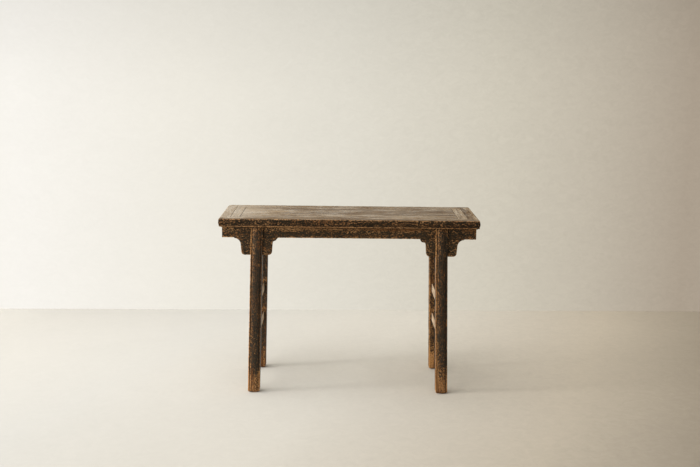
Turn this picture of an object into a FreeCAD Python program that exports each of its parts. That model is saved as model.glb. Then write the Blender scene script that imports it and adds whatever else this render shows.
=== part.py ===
import FreeCAD, Part
import math
import os
import Sketcher
from FreeCAD import Vector

# A flat-top side table with recessed legs. The table stands on the plane z = 0, with its
# length along X and its front towards -Y. All lengths are in millimetres.

# Driving sizes, grouped by the piece that carries them.
tableSizes = {
    "tableLength": 1200,
    "tableDepth": 425,
    "tableHeight": 830,
    "cutOverrun": 10,           # how far a cutting outline runs past the wood
    "tenonClearance": 0.15,     # play on each side of a tenon, tongue or board in its slot
}
frameSizes = {
    "frameThickness": 41,
    "longRailWidth": 62,
    "endRailWidth": 50,
    "arrisEase": 2,             # rounding of the top arris
    "arrisInset": 3,            # top arris, in from the widest line of the edge
    "bulgeDrop": 19,            # widest line of the edge, below the top
    "bandHeight": 29,           # plain band of the edge
    "bandInset": 2,
    "quirkDepth": 2,            # step between the band and the bead
    "beadCentreDrop": 33,
    "beadFootDrop": 38.5,
    "beadFootInset": 8.5,
    "undersideInset": 12,
    "railTenonThickness": 12,
    "railTenonDrop": 15,        # top of the rail tenon, below the table top
    "railTenonWidth": 25,
    "railTenonSetback": 17.5,   # outer side of the rail tenon, in from the long edge
    "railTenonStop": 12,        # end of the rail tenon, in from the table's end
}
panelSizes = {
    "boardThickness": 16,
    "crossBoardWidth": 45,
    "crossBoardThickness": 20,
    "grooveDrop": 8,            # top of the frame groove, below the table top
    "grooveHeight": 7,
    "grooveDepth": 8,
    "seamGap": 0.6,             # shrinkage gap between the parts of the top
    "frontSeamShift": 58,       # joint of the front and middle boards, forward of the centre
    "backSeamShift": 18,        # joint of the middle and back boards, behind the centre
    "boardTongueHeight": 4,
    "boardTongueDepth": 5,
}
battenSizes = {
    "battenSpacing": 310,
    "battenWidth": 36,
    "battenDepth": 22,
    "dovetailHeight": 5.5,
    "dovetailNeck": 30,
    "dovetailHead": 34,
    "battenTenonWidth": 24,
    "battenTenonHeight": 10,
    "battenTenonLength": 15,
    "battenTenonDrop": 5,       # top of the batten tenon, below the boards
}
apronSizes = {
    "apronHeight": 52,
    "apronThickness": 16,
    "apronFaceSetback": 33,     # long apron face, in from the long edge of the top
    "apronEndSetback": 14,      # end apron face, in from the table's end
    "apronTongueHeight": 6,
    "apronTongueThickness": 6,
    "longTongueStop": 50,       # ends of the long apron's tongue, in from the table's end
    "endTongueStop": 65,        # ends of the end apron's tongue, in from the long edge
}
spandrelSizes = {
    "wingReach": 74,            # spandrel edge, from the leg's centre line
    "wingDrop": 81.5,           # spandrel foot, below the apron
    "wingTaper": 3,             # how far each edge draws in towards the foot
    "wingFootRadius": 16,
    "nibHeight": 3,             # square nib under the apron at both ends
    "outerSweep": 30,
    "innerCuspDrop": 10,
    "innerLedge": 1,
    "innerSweep": 14,
    "wingTongueStop": 12,       # ends of the spandrel's tongue, in from the nibs
    "wingTongueHeight": 6,
    "wingTongueThickness": 5,
}
legSizes = {
    "footInset": 128.5,         # outer side of the foot, in from the table's end
    "footSetback": 1,           # outer face of the foot, in from the long edge of the top
    "splayLength": 18.5,        # run-out of the leg along the table, shoulder to floor
    "splayDepth": 19.3,         # run-out of the leg across the table, shoulder to floor
    "legWidth": 56,
    "legDepth": 52,
    "legBeadWidth": 6.6,
    "legBeadSetback": 5.6,
    "legBeadCrown": 0.8,
    "legQuirkWidth": 2.6,
    "legQuirkSetback": 8,
    "legFaceRise": 4,
    "legCornerEase": 4,
    "footEase": 7,              # worn slope around the sole of the foot
    "legTenonHeight": 22,
    "legTenonWidth": 36,
    "legTenonThickness": 7.5,
    "legTenonShift": 1,         # clear wood between the slot and each tenon
}
stretcherSizes = {
    "upperStretcherHeight": 431,
    "lowerStretcherHeight": 281,
    "upperStretcherTall": 42,
    "lowerStretcherTall": 40,
    "stretcherThickness": 30,
    "stretcherEase": 3,
    "stretcherTenonTall": 28,
    "stretcherTenonThickness": 12,
    "stretcherTenonLength": 25,
}

doc = FreeCAD.newDocument("altarTable")
sheet = doc.addObject("Spreadsheet::Sheet", "Sizes")


class Size:
    # A number together with the sheet formula it comes from, so that each place in the
    # model is worked out once and stays bound to the sheet.
    def __init__(self, value, formula):
        self.value = float(value)
        self.formula = formula

    def __add__(self, other):
        return combine(self, other, "+", self.value + valueOf(other))

    def __radd__(self, other):
        return combine(other, self, "+", valueOf(other) + self.value)

    def __sub__(self, other):
        return combine(self, other, "-", self.value - valueOf(other))

    def __rsub__(self, other):
        return combine(other, self, "-", valueOf(other) - self.value)

    def __mul__(self, other):
        return combine(self, other, "*", self.value * valueOf(other))

    def __rmul__(self, other):
        return combine(other, self, "*", valueOf(other) * self.value)

    def __truediv__(self, other):
        return combine(self, other, "/", self.value / valueOf(other))

    def __neg__(self):
        return Size(-self.value, f"(0 - {self.formula})")


def valueOf(item):
    return item.value if isinstance(item, Size) else float(item)


def formulaOf(item):
    return item.formula if isinstance(item, Size) else repr(float(item))


def combine(first, second, sign, value):
    return Size(value, f"({formulaOf(first)} {sign} {formulaOf(second)})")


class Sizes:
    pass


# Writes every size into the sheet as plain text with its name as the alias.
def fillSheet(groups):
    named = Sizes()
    row = 0
    for group in groups:
        for name, value in group.items():
            row += 1
            sheet.set(f"A{row}", name)
            sheet.set(f"B{row}", str(value))
            sheet.setAlias(f"B{row}", name)
            setattr(named, name, Size(value, f"Sizes.{name}"))
    doc.recompute()
    return named


size = fillSheet([tableSizes, frameSizes, panelSizes, battenSizes, apronSizes,
                  spandrelSizes, legSizes, stretcherSizes])

# Places that several pieces share.
halfLength = size.tableLength / 2
halfDepth = size.tableDepth / 2
shoulderHeight = size.tableHeight - size.frameThickness
railInnerFace = halfDepth - size.longRailWidth
endInnerFace = halfLength - size.endRailWidth
grooveTop = size.tableHeight - size.grooveDrop
grooveBottom = grooveTop - size.grooveHeight
railTenonTop = size.tableHeight - size.railTenonDrop
railTenonBottom = railTenonTop - size.railTenonThickness
boardBottom = size.tableHeight - size.boardThickness
crossBoardEdge = endInnerFace - size.crossBoardWidth
battenTenonTop = boardBottom - size.battenTenonDrop
battenTenonBottom = battenTenonTop - size.battenTenonHeight
apronBottom = shoulderHeight - size.apronHeight
apronFace = halfDepth - size.apronFaceSetback
apronEnd = halfLength - size.apronEndSetback
apronMiddle = apronFace - size.apronThickness / 2
endApronMiddle = apronEnd - size.apronThickness / 2
longTongueEnd = halfLength - size.longTongueStop
endTongueEnd = halfDepth - size.endTongueStop
spandrelFoot = apronBottom - size.wingDrop
footReach = halfLength - size.footInset
legCentre = footReach - size.legWidth / 2
legTopCentre = legCentre - size.splayLength
outerTenonNear = apronFace + size.legTenonShift
outerTenonFar = outerTenonNear + size.legTenonThickness
innerTenonFar = apronFace - size.apronThickness - size.legTenonShift
innerTenonNear = innerTenonFar - size.legTenonThickness


def legCentreAt(height):
    return legCentre - size.splayLength * height / shoulderHeight


def legInnerFaceAt(height):
    foot = halfDepth - size.footSetback - size.legDepth
    return foot - size.splayDepth * height / shoulderHeight


# Corners of an outline: a straight edge, or the shorter arc about a centre that is given
# by one of its two coordinates.
def lineTo(across, up):
    return {"corner": (across, up)}


def arcTo(across, up, centreAcross=None, centreUp=None):
    return {"corner": (across, up), "centreAcross": centreAcross, "centreUp": centreUp}


def rectangle(left, low, right, high):
    return [lineTo(left, low), lineTo(right, low), lineTo(right, high), lineTo(left, high)]


def polygon(corners):
    return [lineTo(across, up) for across, up in corners]


def mirrored(corners):
    return [(-across, up) for across, up in corners]


def newBody(label):
    body = doc.addObject("PartDesign::Body", label)
    body.Label = label
    return body


def newSketch(body, name, role, offset=None):
    planes = {plane.Role: plane for plane in body.Origin.OriginFeatures}
    sketch = body.newObject("Sketcher::SketchObject", name)
    sketch.AttachmentSupport = [(planes[role], "")]
    sketch.MapMode = "FlatFace"
    if offset is not None:
        sketch.setExpression("AttachmentOffset.Base.z", offset.formula)
    return sketch


# Start angle, end angle and centre of the shorter arc between two corners.
def arcGeometry(start, step):
    startAcross, startUp = (valueOf(item) for item in start)
    endAcross, endUp = (valueOf(item) for item in step["corner"])
    squares = (endAcross**2 - startAcross**2 + endUp**2 - startUp**2) / 2
    if step["centreUp"] is not None:
        up = valueOf(step["centreUp"])
        across = (squares - up * (endUp - startUp)) / (endAcross - startAcross)
    else:
        across = valueOf(step["centreAcross"])
        up = (squares - across * (endAcross - startAcross)) / (endUp - startUp)
    radius = math.hypot(startAcross - across, startUp - up)
    startAngle = math.atan2(startUp - up, startAcross - across)
    endAngle = math.atan2(endUp - up, endAcross - across)
    turn = (endAngle - startAngle) % (2 * math.pi)
    backwards = turn > math.pi
    if backwards:
        startAngle, endAngle = endAngle, startAngle
    circle = Part.Circle(Vector(across, up, 0), Vector(0, 0, 1), radius)
    return Part.ArcOfCircle(circle, startAngle, endAngle), backwards


def placePoint(sketch, geometry, point, name, value):
    index = sketch.addConstraint(
        Sketcher.Constraint(name, -1, 1, geometry, point, valueOf(value)))
    if isinstance(value, Size):
        sketch.setExpression(f"Constraints[{index}]", value.formula)


# Adds one closed outline, with every corner bound to the sheet.
def addOutline(sketch, steps):
    starts = []
    ends = []
    for number, step in enumerate(steps):
        start = steps[number - 1]["corner"]
        end = step["corner"]
        if "centreUp" in step:
            shape, backwards = arcGeometry(start, step)
            geometry = sketch.addGeometry(shape)
            starts.append((geometry, 2 if backwards else 1))
            ends.append((geometry, 1 if backwards else 2))
        else:
            edge = Part.LineSegment(Vector(valueOf(start[0]), valueOf(start[1]), 0),
                                    Vector(valueOf(end[0]), valueOf(end[1]), 0))
            geometry = sketch.addGeometry(edge)
            starts.append((geometry, 1))
            ends.append((geometry, 2))
    for number, step in enumerate(steps):
        nextStart = starts[(number + 1) % len(steps)]
        sketch.addConstraint(Sketcher.Constraint("Coincident", *ends[number], *nextStart))
    for number, step in enumerate(steps):
        placePoint(sketch, *ends[number], "DistanceX", step["corner"][0])
        placePoint(sketch, *ends[number], "DistanceY", step["corner"][1])
        if step.get("centreUp") is not None:
            placePoint(sketch, ends[number][0], 3, "DistanceY", step["centreUp"])
        elif step.get("centreAcross") is not None:
            placePoint(sketch, ends[number][0], 3, "DistanceX", step["centreAcross"])


def addFeature(body, kind, name, role, outlines, length, offset=None, symmetric=True):
    sketch = newSketch(body, name + "Outline", role, offset)
    for outline in outlines:
        addOutline(sketch, outline)
    feature = body.newObject(kind, name)
    feature.Profile = sketch
    if symmetric:
        feature.SideType = "Symmetric"
    if length is None:
        feature.Type = "ThroughAll"
    else:
        feature.Length = valueOf(length)
        feature.setExpression("Length", length.formula)
    sketch.Visibility = False
    return feature


def pad(body, name, role, outlines, length, offset=None, symmetric=True):
    return addFeature(body, "PartDesign::Pad", name, role, outlines, length, offset, symmetric)


def pocket(body, name, role, outlines, length=None, offset=None):
    return addFeature(body, "PartDesign::Pocket", name, role, outlines, length, offset)


# Moulded section of a frame member. Insets are measured in from the outer face of a
# member on the given side, and drops down from the table top.
def frameSection(side, reach, width):
    def at(inset):
        return side * (reach - inset)

    def down(drop):
        return size.tableHeight - drop

    easedInset = size.arrisInset + size.arrisEase
    stepInset = size.bandInset + size.quirkDepth
    return [
        lineTo(at(easedInset), size.tableHeight),
        arcTo(at(size.arrisInset), down(size.arrisEase), centreUp=down(size.arrisEase)),
        arcTo(side * reach, down(size.bulgeDrop), centreUp=down(size.bulgeDrop)),
        arcTo(at(size.bandInset), down(size.bandHeight), centreUp=down(size.bulgeDrop)),
        lineTo(at(stepInset), down(size.bandHeight)),
        arcTo(at(size.beadFootInset), down(size.beadFootDrop), centreUp=down(size.beadCentreDrop)),
        lineTo(at(size.undersideInset), shoulderHeight),
        lineTo(at(width), shoulderHeight),
        lineTo(at(width), size.tableHeight),
    ]


# Long member of the mitred frame: side -1 is the front, +1 the back.
def makeLongRail(label, side):
    body = newBody(label)
    over = size.cutOverrun
    pad(body, "member", "YZ_Plane", [frameSection(side, halfDepth, size.longRailWidth)],
        size.tableLength)
    mitreRoot = halfDepth - size.endRailWidth
    mitre = [(halfLength + over, side * (halfDepth + over)), (endInnerFace, side * mitreRoot),
             (endInnerFace, side * (railInnerFace - over)),
             (halfLength + over, side * (railInnerFace - over))]
    pocket(body, "mitres", "XY_Plane", [polygon(mitre), polygon(mirrored(mitre))])

    tenonOuter = side * (halfDepth - size.railTenonSetback)
    tenonInner = tenonOuter - side * size.railTenonWidth
    tenonEnd = halfLength - size.railTenonStop
    pad(body, "endTenons", "XY_Plane",
        [rectangle(endInnerFace, tenonInner, tenonEnd, tenonOuter),
         rectangle(-tenonEnd, tenonInner, -endInnerFace, tenonOuter)],
        size.railTenonThickness, railTenonBottom, symmetric=False)

    play = size.tenonClearance
    grooveFloor = railInnerFace + size.grooveDepth + play
    pocket(body, "panelGroove", "YZ_Plane",
           [rectangle(side * (railInnerFace - over), grooveBottom, side * grooveFloor, grooveTop)])

    halfWide = size.battenTenonWidth / 2 + play
    mortises = [rectangle(step * size.battenSpacing - halfWide, battenTenonBottom - play,
                          step * size.battenSpacing + halfWide, battenTenonTop + play)
                for step in (-1, 0, 1)]
    pocket(body, "battenMortises", "XZ_Plane", mortises,
           2 * (size.battenTenonLength + play), -side * railInnerFace)

    halfTongue = size.apronTongueThickness / 2 + play
    pocket(body, "apronGroove", "XY_Plane",
           [rectangle(-longTongueEnd - play, side * apronMiddle - halfTongue,
                      longTongueEnd + play, side * apronMiddle + halfTongue)],
           2 * (size.apronTongueHeight + play), shoulderHeight)

    halfTenon = size.legTenonWidth / 2 + play
    legMortises = []
    for end in (-1, 1):
        for near, far in ((outerTenonNear, outerTenonFar), (innerTenonNear, innerTenonFar)):
            legMortises.append(rectangle(end * legTopCentre - halfTenon, side * (near - play),
                                         end * legTopCentre + halfTenon, side * (far + play)))
    pocket(body, "legMortises", "XY_Plane", legMortises,
           2 * (size.legTenonHeight + play), shoulderHeight)
    return body


# Short member of the mitred frame: end -1 is the left, +1 the right.
def makeEndRail(label, end):
    body = newBody(label)
    over = size.cutOverrun
    play = size.tenonClearance
    pad(body, "member", "XZ_Plane", [frameSection(end, halfLength, size.endRailWidth)],
        size.tableDepth)
    mitreRoot = halfDepth - size.endRailWidth
    mitres = []
    for side in (-1, 1):
        mitres.append(polygon([(end * (halfLength + over), side * (halfDepth + over)),
                               (end * endInnerFace, side * mitreRoot),
                               (end * (endInnerFace - over), side * mitreRoot),
                               (end * (endInnerFace - over), side * (halfDepth + over))]))
    pocket(body, "mitres", "XY_Plane", mitres)

    mortises = []
    for side in (-1, 1):
        outer = halfDepth - size.railTenonSetback
        inner = outer - size.railTenonWidth
        mortises.append(rectangle(end * (endInnerFace - over), side * (inner - play),
                                  end * (halfLength - size.railTenonStop + play),
                                  side * (outer + play)))
    pocket(body, "railMortises", "XY_Plane", mortises, size.railTenonThickness + 2 * play,
           railTenonBottom + size.railTenonThickness / 2)

    grooveFloor = endInnerFace + size.grooveDepth + play
    pocket(body, "panelGroove", "XZ_Plane",
           [rectangle(end * (endInnerFace - over), grooveBottom, end * grooveFloor, grooveTop)],
           2 * railInnerFace)

    halfTongue = size.apronTongueThickness / 2 + play
    pocket(body, "apronGroove", "XY_Plane",
           [rectangle(end * endApronMiddle - halfTongue, -endTongueEnd - play,
                      end * endApronMiddle + halfTongue, endTongueEnd + play)],
           2 * (size.apronTongueHeight + play), shoulderHeight)
    return body


# Cross piece between an end rail and the boards, tongued on three sides.
def makeCrossBoard(label, end):
    body = newBody(label)
    play = size.tenonClearance
    outerEdge = endInnerFace - size.seamGap
    boardEnd = railInnerFace - size.seamGap
    pad(body, "board", "XY_Plane",
        [rectangle(end * crossBoardEdge, -boardEnd, end * outerEdge, boardEnd)],
        size.crossBoardThickness, size.tableHeight - size.crossBoardThickness, symmetric=False)
    tongueMiddle = (grooveTop + grooveBottom) / 2
    tongueThickness = size.grooveHeight - 2 * play
    tongueEnd = railInnerFace + size.grooveDepth
    pad(body, "sideTongues", "XY_Plane",
        [rectangle(end * crossBoardEdge, -tongueEnd, end * outerEdge, tongueEnd)],
        tongueThickness, tongueMiddle)
    pad(body, "outerTongue", "XY_Plane",
        [rectangle(end * crossBoardEdge, -boardEnd, end * (endInnerFace + size.grooveDepth),
                   boardEnd)],
        tongueThickness, tongueMiddle)
    pocket(body, "boardGroove", "XZ_Plane",
           [rectangle(end * (crossBoardEdge - size.cutOverrun), grooveBottom,
                      end * (crossBoardEdge + size.grooveDepth + play), grooveTop)])
    return body


# One lengthwise board of the panel, between two lines across the depth. A board's edge
# runs into the frame groove, or meets the next board with a small tongue and groove.
def makeBoard(label, front, back, frontEdge, backEdge):
    body = newBody(label)
    play = size.tenonClearance
    boardEnd = crossBoardEdge - size.seamGap
    halfGap = size.seamGap / 2
    near = front + halfGap
    far = back - halfGap
    pad(body, "board", "XY_Plane", [rectangle(-boardEnd, near, boardEnd, far)],
        size.boardThickness, boardBottom, symmetric=False)

    tongueMiddle = (grooveTop + grooveBottom) / 2
    tongueThickness = size.grooveHeight - 2 * play
    tongueEnd = crossBoardEdge + size.grooveDepth
    pad(body, "endTongues", "XY_Plane", [rectangle(-tongueEnd, near, tongueEnd, far)],
        tongueThickness, tongueMiddle)

    frameReach = size.grooveDepth + halfGap
    if frontEdge == "frame":
        pad(body, "frontTongue", "XY_Plane",
            [rectangle(-boardEnd, near - frameReach, boardEnd, near)],
            tongueThickness, tongueMiddle)
    if backEdge == "frame":
        pad(body, "backTongue", "XY_Plane",
            [rectangle(-boardEnd, far, boardEnd, far + frameReach)],
            tongueThickness, tongueMiddle)
    if backEdge == "tongue":
        pad(body, "jointTongue", "XY_Plane",
            [rectangle(-boardEnd, far, boardEnd, far + size.boardTongueDepth)],
            size.boardTongueHeight - 2 * play, tongueMiddle)
    if frontEdge == "groove":
        pocket(body, "jointGroove", "XY_Plane",
               [rectangle(-tongueEnd - size.cutOverrun, near - size.cutOverrun,
                          tongueEnd + size.cutOverrun, near + size.boardTongueDepth + play)],
               size.boardTongueHeight, tongueMiddle)

    over = size.cutOverrun
    neck = size.dovetailNeck / 2
    head = size.dovetailHead / 2
    flare = (head - neck) / size.dovetailHeight * over
    housings = []
    for step in (-1, 0, 1):
        middle = step * size.battenSpacing
        housings.append(polygon([(middle - neck + flare, boardBottom - over),
                                 (middle + neck - flare, boardBottom - over),
                                 (middle + head, boardBottom + size.dovetailHeight),
                                 (middle - head, boardBottom + size.dovetailHeight)]))
    pocket(body, "battenHousings", "XZ_Plane", housings)
    return body


# Dovetailed batten across the underside of the boards, tenoned into both long rails.
def makeBatten(label, step):
    body = newBody(label)
    play = size.tenonClearance
    middle = step * size.battenSpacing
    halfWide = size.battenWidth / 2
    neck = size.dovetailNeck / 2 - play
    head = size.dovetailHead / 2 - play
    dovetailTop = boardBottom + size.dovetailHeight - play
    low = boardBottom - size.battenDepth
    section = polygon([(middle - halfWide, low), (middle + halfWide, low),
                       (middle + halfWide, boardBottom), (middle + neck, boardBottom),
                       (middle + head, dovetailTop), (middle - head, dovetailTop),
                       (middle - neck, boardBottom), (middle - halfWide, boardBottom)])
    pad(body, "batten", "XZ_Plane", [section], 2 * (railInnerFace - play))
    halfTenon = size.battenTenonWidth / 2
    pad(body, "tenons", "XZ_Plane",
        [rectangle(middle - halfTenon, battenTenonBottom, middle + halfTenon, battenTenonTop)],
        2 * (railInnerFace + size.battenTenonLength))
    return body


def spandrelEnds():
    # Inner and outer ends of a spandrel's top edge, measured along the table.
    middle = legCentreAt((apronBottom + spandrelFoot) / 2)
    outer = middle + size.wingReach + size.outerSweep
    inner = middle - size.wingReach - size.innerSweep - size.innerLedge - size.innerCuspDrop
    return middle, inner, outer


# Long apron strip, mitred at the table's ends, with a tongue up into the frame and two
# grooves below for the spandrels.
def makeLongApron(label, side):
    body = newBody(label)
    over = size.cutOverrun
    play = size.tenonClearance
    planeOffset = -side * apronMiddle
    pad(body, "strip", "XZ_Plane",
        [rectangle(-apronEnd, apronBottom, apronEnd, shoulderHeight)],
        size.apronThickness, planeOffset)
    backFace = apronFace - size.apronThickness
    mitre = [(apronEnd + over, side * (apronFace + over)),
             (apronEnd - size.apronThickness - over, side * (backFace - over)),
             (apronEnd + over, side * (backFace - over))]
    pocket(body, "mitres", "XY_Plane", [polygon(mitre), polygon(mirrored(mitre))])
    pad(body, "tongue", "XZ_Plane",
        [rectangle(-longTongueEnd, shoulderHeight - size.apronTongueHeight,
                   longTongueEnd, shoulderHeight + size.apronTongueHeight)],
        size.apronTongueThickness, planeOffset)
    middle, inner, outer = spandrelEnds()
    grooves = []
    for end in (-1, 1):
        near = end * (inner + size.wingTongueStop - play)
        far = end * (outer - size.wingTongueStop + play)
        grooves.append(rectangle(near, apronBottom - over, far,
                                 apronBottom + size.wingTongueHeight + play))
    pocket(body, "spandrelGrooves", "XZ_Plane", grooves,
           size.wingTongueThickness + 2 * play, planeOffset)
    return body


# Short apron at a table's end, mitred to both long aprons.
def makeEndApron(label, end):
    body = newBody(label)
    over = size.cutOverrun
    planeOffset = end * endApronMiddle
    pad(body, "strip", "YZ_Plane",
        [rectangle(-apronFace, apronBottom, apronFace, shoulderHeight)],
        size.apronThickness, planeOffset)
    backFace = apronEnd - size.apronThickness
    mitres = []
    for side in (-1, 1):
        mitres.append(polygon([(end * (apronEnd + over), side * (apronFace + over)),
                               (end * (backFace - over),
                                side * (apronFace - size.apronThickness - over)),
                               (end * (backFace - over), side * (apronFace + over))]))
    pocket(body, "mitres", "XY_Plane", mitres)
    pad(body, "tongue", "YZ_Plane",
        [rectangle(-endTongueEnd, shoulderHeight - size.apronTongueHeight,
                   endTongueEnd, shoulderHeight + size.apronTongueHeight)],
        size.apronTongueThickness, planeOffset)
    return body


# Shaped head that runs through a leg's slot under the long apron. The outer edge is one
# hollow sweep, the inner edge a small cusp over a shorter sweep.
def makeSpandrel(label, end, side):
    body = newBody(label)
    middle, inner, outer = spandrelEnds()
    wing = size.wingReach
    nib = apronBottom - size.nibHeight
    outerEdge = middle + wing
    innerEdge = middle - wing
    radius = size.wingFootRadius
    cuspLevel = nib - size.innerCuspDrop
    sweepStart = innerEdge - size.innerSweep
    sweepLow = cuspLevel - size.innerSweep
    footOuter = outerEdge - size.wingTaper
    footInner = innerEdge + size.wingTaper

    def line(across, up):
        return lineTo(end * across, up)

    def arc(across, up, centreAcross):
        return arcTo(end * across, up, centreAcross=end * centreAcross)

    outline = [
        line(inner, apronBottom),
        line(outer, apronBottom),
        line(outer, nib),
        arc(outerEdge, nib - size.outerSweep, outer),
        line(footOuter, spandrelFoot + radius),
        arc(footOuter - radius, spandrelFoot, footOuter - radius),
        line(footInner + radius, spandrelFoot),
        arc(footInner, spandrelFoot + radius, footInner + radius),
        line(innerEdge, sweepLow),
        arc(sweepStart, cuspLevel, sweepStart),
        line(sweepStart - size.innerLedge, cuspLevel),
        arc(inner, nib, inner),
    ]
    planeOffset = -side * apronMiddle
    pad(body, "head", "XZ_Plane", [outline], size.apronThickness, planeOffset)
    pad(body, "tongue", "XZ_Plane",
        [rectangle(end * (inner + size.wingTongueStop), apronBottom - size.wingTongueHeight,
                   end * (outer - size.wingTongueStop), apronBottom + size.wingTongueHeight)],
        size.wingTongueThickness, planeOffset)
    return body


# Plan of a leg at the floor: a gently rounded outer face between two corner beads.
def legSection(end, side):
    middle = end * legCentre
    face = halfDepth - size.footSetback

    def point(across, setback):
        return middle + across, side * (face - setback)

    half = size.legWidth / 2
    beadInner = half - size.legBeadWidth
    faceHalf = beadInner - size.legQuirkWidth
    faceRadius = (faceHalf * faceHalf + size.legFaceRise * size.legFaceRise) / (2 * size.legFaceRise)
    beadCentre = side * (face - size.legBeadSetback - size.legBeadCrown)
    ease = size.legCornerEase
    return [
        lineTo(*point(-half, size.legBeadSetback)),
        arcTo(*point(-beadInner, size.legBeadSetback), centreUp=beadCentre),
        lineTo(*point(-beadInner, size.legQuirkSetback)),
        lineTo(*point(-faceHalf, size.legQuirkSetback)),
        lineTo(*point(-faceHalf, size.legFaceRise)),
        arcTo(*point(faceHalf, size.legFaceRise), centreUp=side * (face - faceRadius)),
        lineTo(*point(faceHalf, size.legQuirkSetback)),
        lineTo(*point(beadInner, size.legQuirkSetback)),
        lineTo(*point(beadInner, size.legBeadSetback)),
        arcTo(*point(half, size.legBeadSetback), centreUp=beadCentre),
        lineTo(*point(half, size.legDepth - ease)),
        arcTo(*point(half - ease, size.legDepth), centreUp=side * (face - size.legDepth + ease)),
        lineTo(*point(-half + ease, size.legDepth)),
        arcTo(*point(-half, size.legDepth - ease), centreUp=side * (face - size.legDepth + ease)),
    ]


# Wedge that slopes off one edge of a foot, up and down from the floor line.
def footWedge(edge, outward):
    over = size.cutOverrun
    ease = size.footEase
    return polygon([(edge - outward * (ease + over), -over),
                    (edge + outward * over, ease + over),
                    (edge + outward * over, -over)])


# Splayed leg: a slot for apron and spandrel, two tenons above, two mortises inside.
def makeLeg(label, end, side):
    body = newBody(label)
    over = size.cutOverrun
    play = size.tenonClearance
    post = pad(body, "post", "XY_Plane", [legSection(end, side)], shoulderHeight,
               symmetric=False)
    post.UseCustomVector = True
    post.AlongSketchNormal = True
    post.setExpression("Direction.x", (-end * size.splayLength).formula)
    post.setExpression("Direction.y", (-side * size.splayDepth).formula)
    post.setExpression("Direction.z", shoulderHeight.formula)

    slotOuter = apronFace + play
    slotInner = apronFace - size.apronThickness - play
    pocket(body, "slot", "YZ_Plane",
           [rectangle(side * slotInner, spandrelFoot, side * slotOuter, shoulderHeight + over)])

    middle = end * legTopCentre
    half = size.legTenonWidth / 2
    tenons = [rectangle(middle - half, side * near, middle + half, side * far)
              for near, far in ((outerTenonNear, outerTenonFar), (innerTenonNear, innerTenonFar))]
    pad(body, "tenons", "XY_Plane", tenons, size.legTenonHeight, shoulderHeight,
        symmetric=False)

    innerSide = footReach - size.legWidth
    pocket(body, "soleAcross", "XZ_Plane",
           [footWedge(end * footReach, end), footWedge(end * innerSide, -end)])
    outerFace = halfDepth - size.footSetback
    pocket(body, "soleAlong", "YZ_Plane",
           [footWedge(side * outerFace, side), footWedge(side * (outerFace - size.legDepth), -side)])

    for name, height in (("upper", size.upperStretcherHeight), ("lower", size.lowerStretcherHeight)):
        halfTall = size.stretcherTenonTall / 2 + play
        face = legInnerFaceAt(height)
        pocket(body, name + "Mortise", "YZ_Plane",
               [rectangle(side * (face - over), height - halfTall,
                          side * (face + size.stretcherTenonLength + play), height + halfTall)],
               size.stretcherTenonThickness + 2 * play, end * legCentreAt(height))
    return body


# Cross bar between the two legs of one end, with shoulders cut to the legs' slope.
def makeStretcher(label, end, height, tall):
    body = newBody(label)
    low = height - tall / 2
    high = height + tall / 2
    planeOffset = end * legCentreAt(height)
    side = polygon([(-legInnerFaceAt(low), low), (legInnerFaceAt(low), low),
                    (legInnerFaceAt(high), high), (-legInnerFaceAt(high), high)])
    bar = pad(body, "bar", "YZ_Plane", [side], size.stretcherThickness, planeOffset)
    doc.recompute()
    longest = 2 * legInnerFaceAt(high).value
    edges = [f"Edge{number}" for number, edge in enumerate(bar.Shape.Edges, 1)
             if edge.Length > longest * longEdgeShare]
    ease = body.newObject("PartDesign::Fillet", "easedEdges")
    ease.Base = (bar, edges)
    ease.setExpression("Radius", size.stretcherEase.formula)
    reach = legInnerFaceAt(height) + size.stretcherTenonLength
    half = size.stretcherTenonTall / 2
    pad(body, "tenons", "YZ_Plane", [rectangle(-reach, height - half, reach, height + half)],
        size.stretcherTenonThickness, planeOffset)
    return body


# An edge this long, as a share of the bar, is one of its four long edges.
longEdgeShare = 0.9

pieces = []
for label, side in (("front_long_rail", -1), ("back_long_rail", 1)):
    pieces.append(makeLongRail(label, side))
for label, end in (("left_end_rail", -1), ("right_end_rail", 1)):
    pieces.append(makeEndRail(label, end))
for label, end in (("left_cross_board", -1), ("right_cross_board", 1)):
    pieces.append(makeCrossBoard(label, end))

pieces.append(makeBoard("front_panel_board", -railInnerFace, -size.frontSeamShift,
                        "frame", "tongue"))
pieces.append(makeBoard("middle_panel_board", -size.frontSeamShift, size.backSeamShift,
                        "groove", "tongue"))
pieces.append(makeBoard("back_panel_board", size.backSeamShift, railInnerFace,
                        "groove", "frame"))
for label, step in (("left_batten", -1), ("middle_batten", 0), ("right_batten", 1)):
    pieces.append(makeBatten(label, step))

for label, side in (("front_apron", -1), ("back_apron", 1)):
    pieces.append(makeLongApron(label, side))
for label, end in (("left_end_apron", -1), ("right_end_apron", 1)):
    pieces.append(makeEndApron(label, end))

for sideName, side in (("front", -1), ("back", 1)):
    for endName, end in (("left", -1), ("right", 1)):
        pieces.append(makeSpandrel(f"{sideName}_{endName}_spandrel", end, side))
        pieces.append(makeLeg(f"{sideName}_{endName}_leg", end, side))

stretcherRows = (("upper", size.upperStretcherHeight, size.upperStretcherTall),
                 ("lower", size.lowerStretcherHeight, size.lowerStretcherTall))
for endName, end in (("left", -1), ("right", 1)):
    for rowName, height, tall in stretcherRows:
        pieces.append(makeStretcher(f"{endName}_{rowName}_stretcher", end, height, tall))

doc.recompute()
for item in doc.Objects:
    if "Invalid" in item.State or "Error" in item.State:
        raise RuntimeError(f"{item.Label} failed: {item.State}")
for piece in pieces:
    if piece.Shape.isNull() or not piece.Shape.isValid() or len(piece.Shape.Solids) != 1:
        raise RuntimeError(f"{piece.Label} isn't one valid solid")

os.makedirs("parts", exist_ok=True)
for piece in pieces:
    piece.Shape.exportStep(f"parts/{piece.Label}.step")
    print(piece.Label, round(piece.Shape.Volume))
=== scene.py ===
import bmesh
import bpy
import math
from mathutils import Matrix, Vector, kdtree, noise


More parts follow.
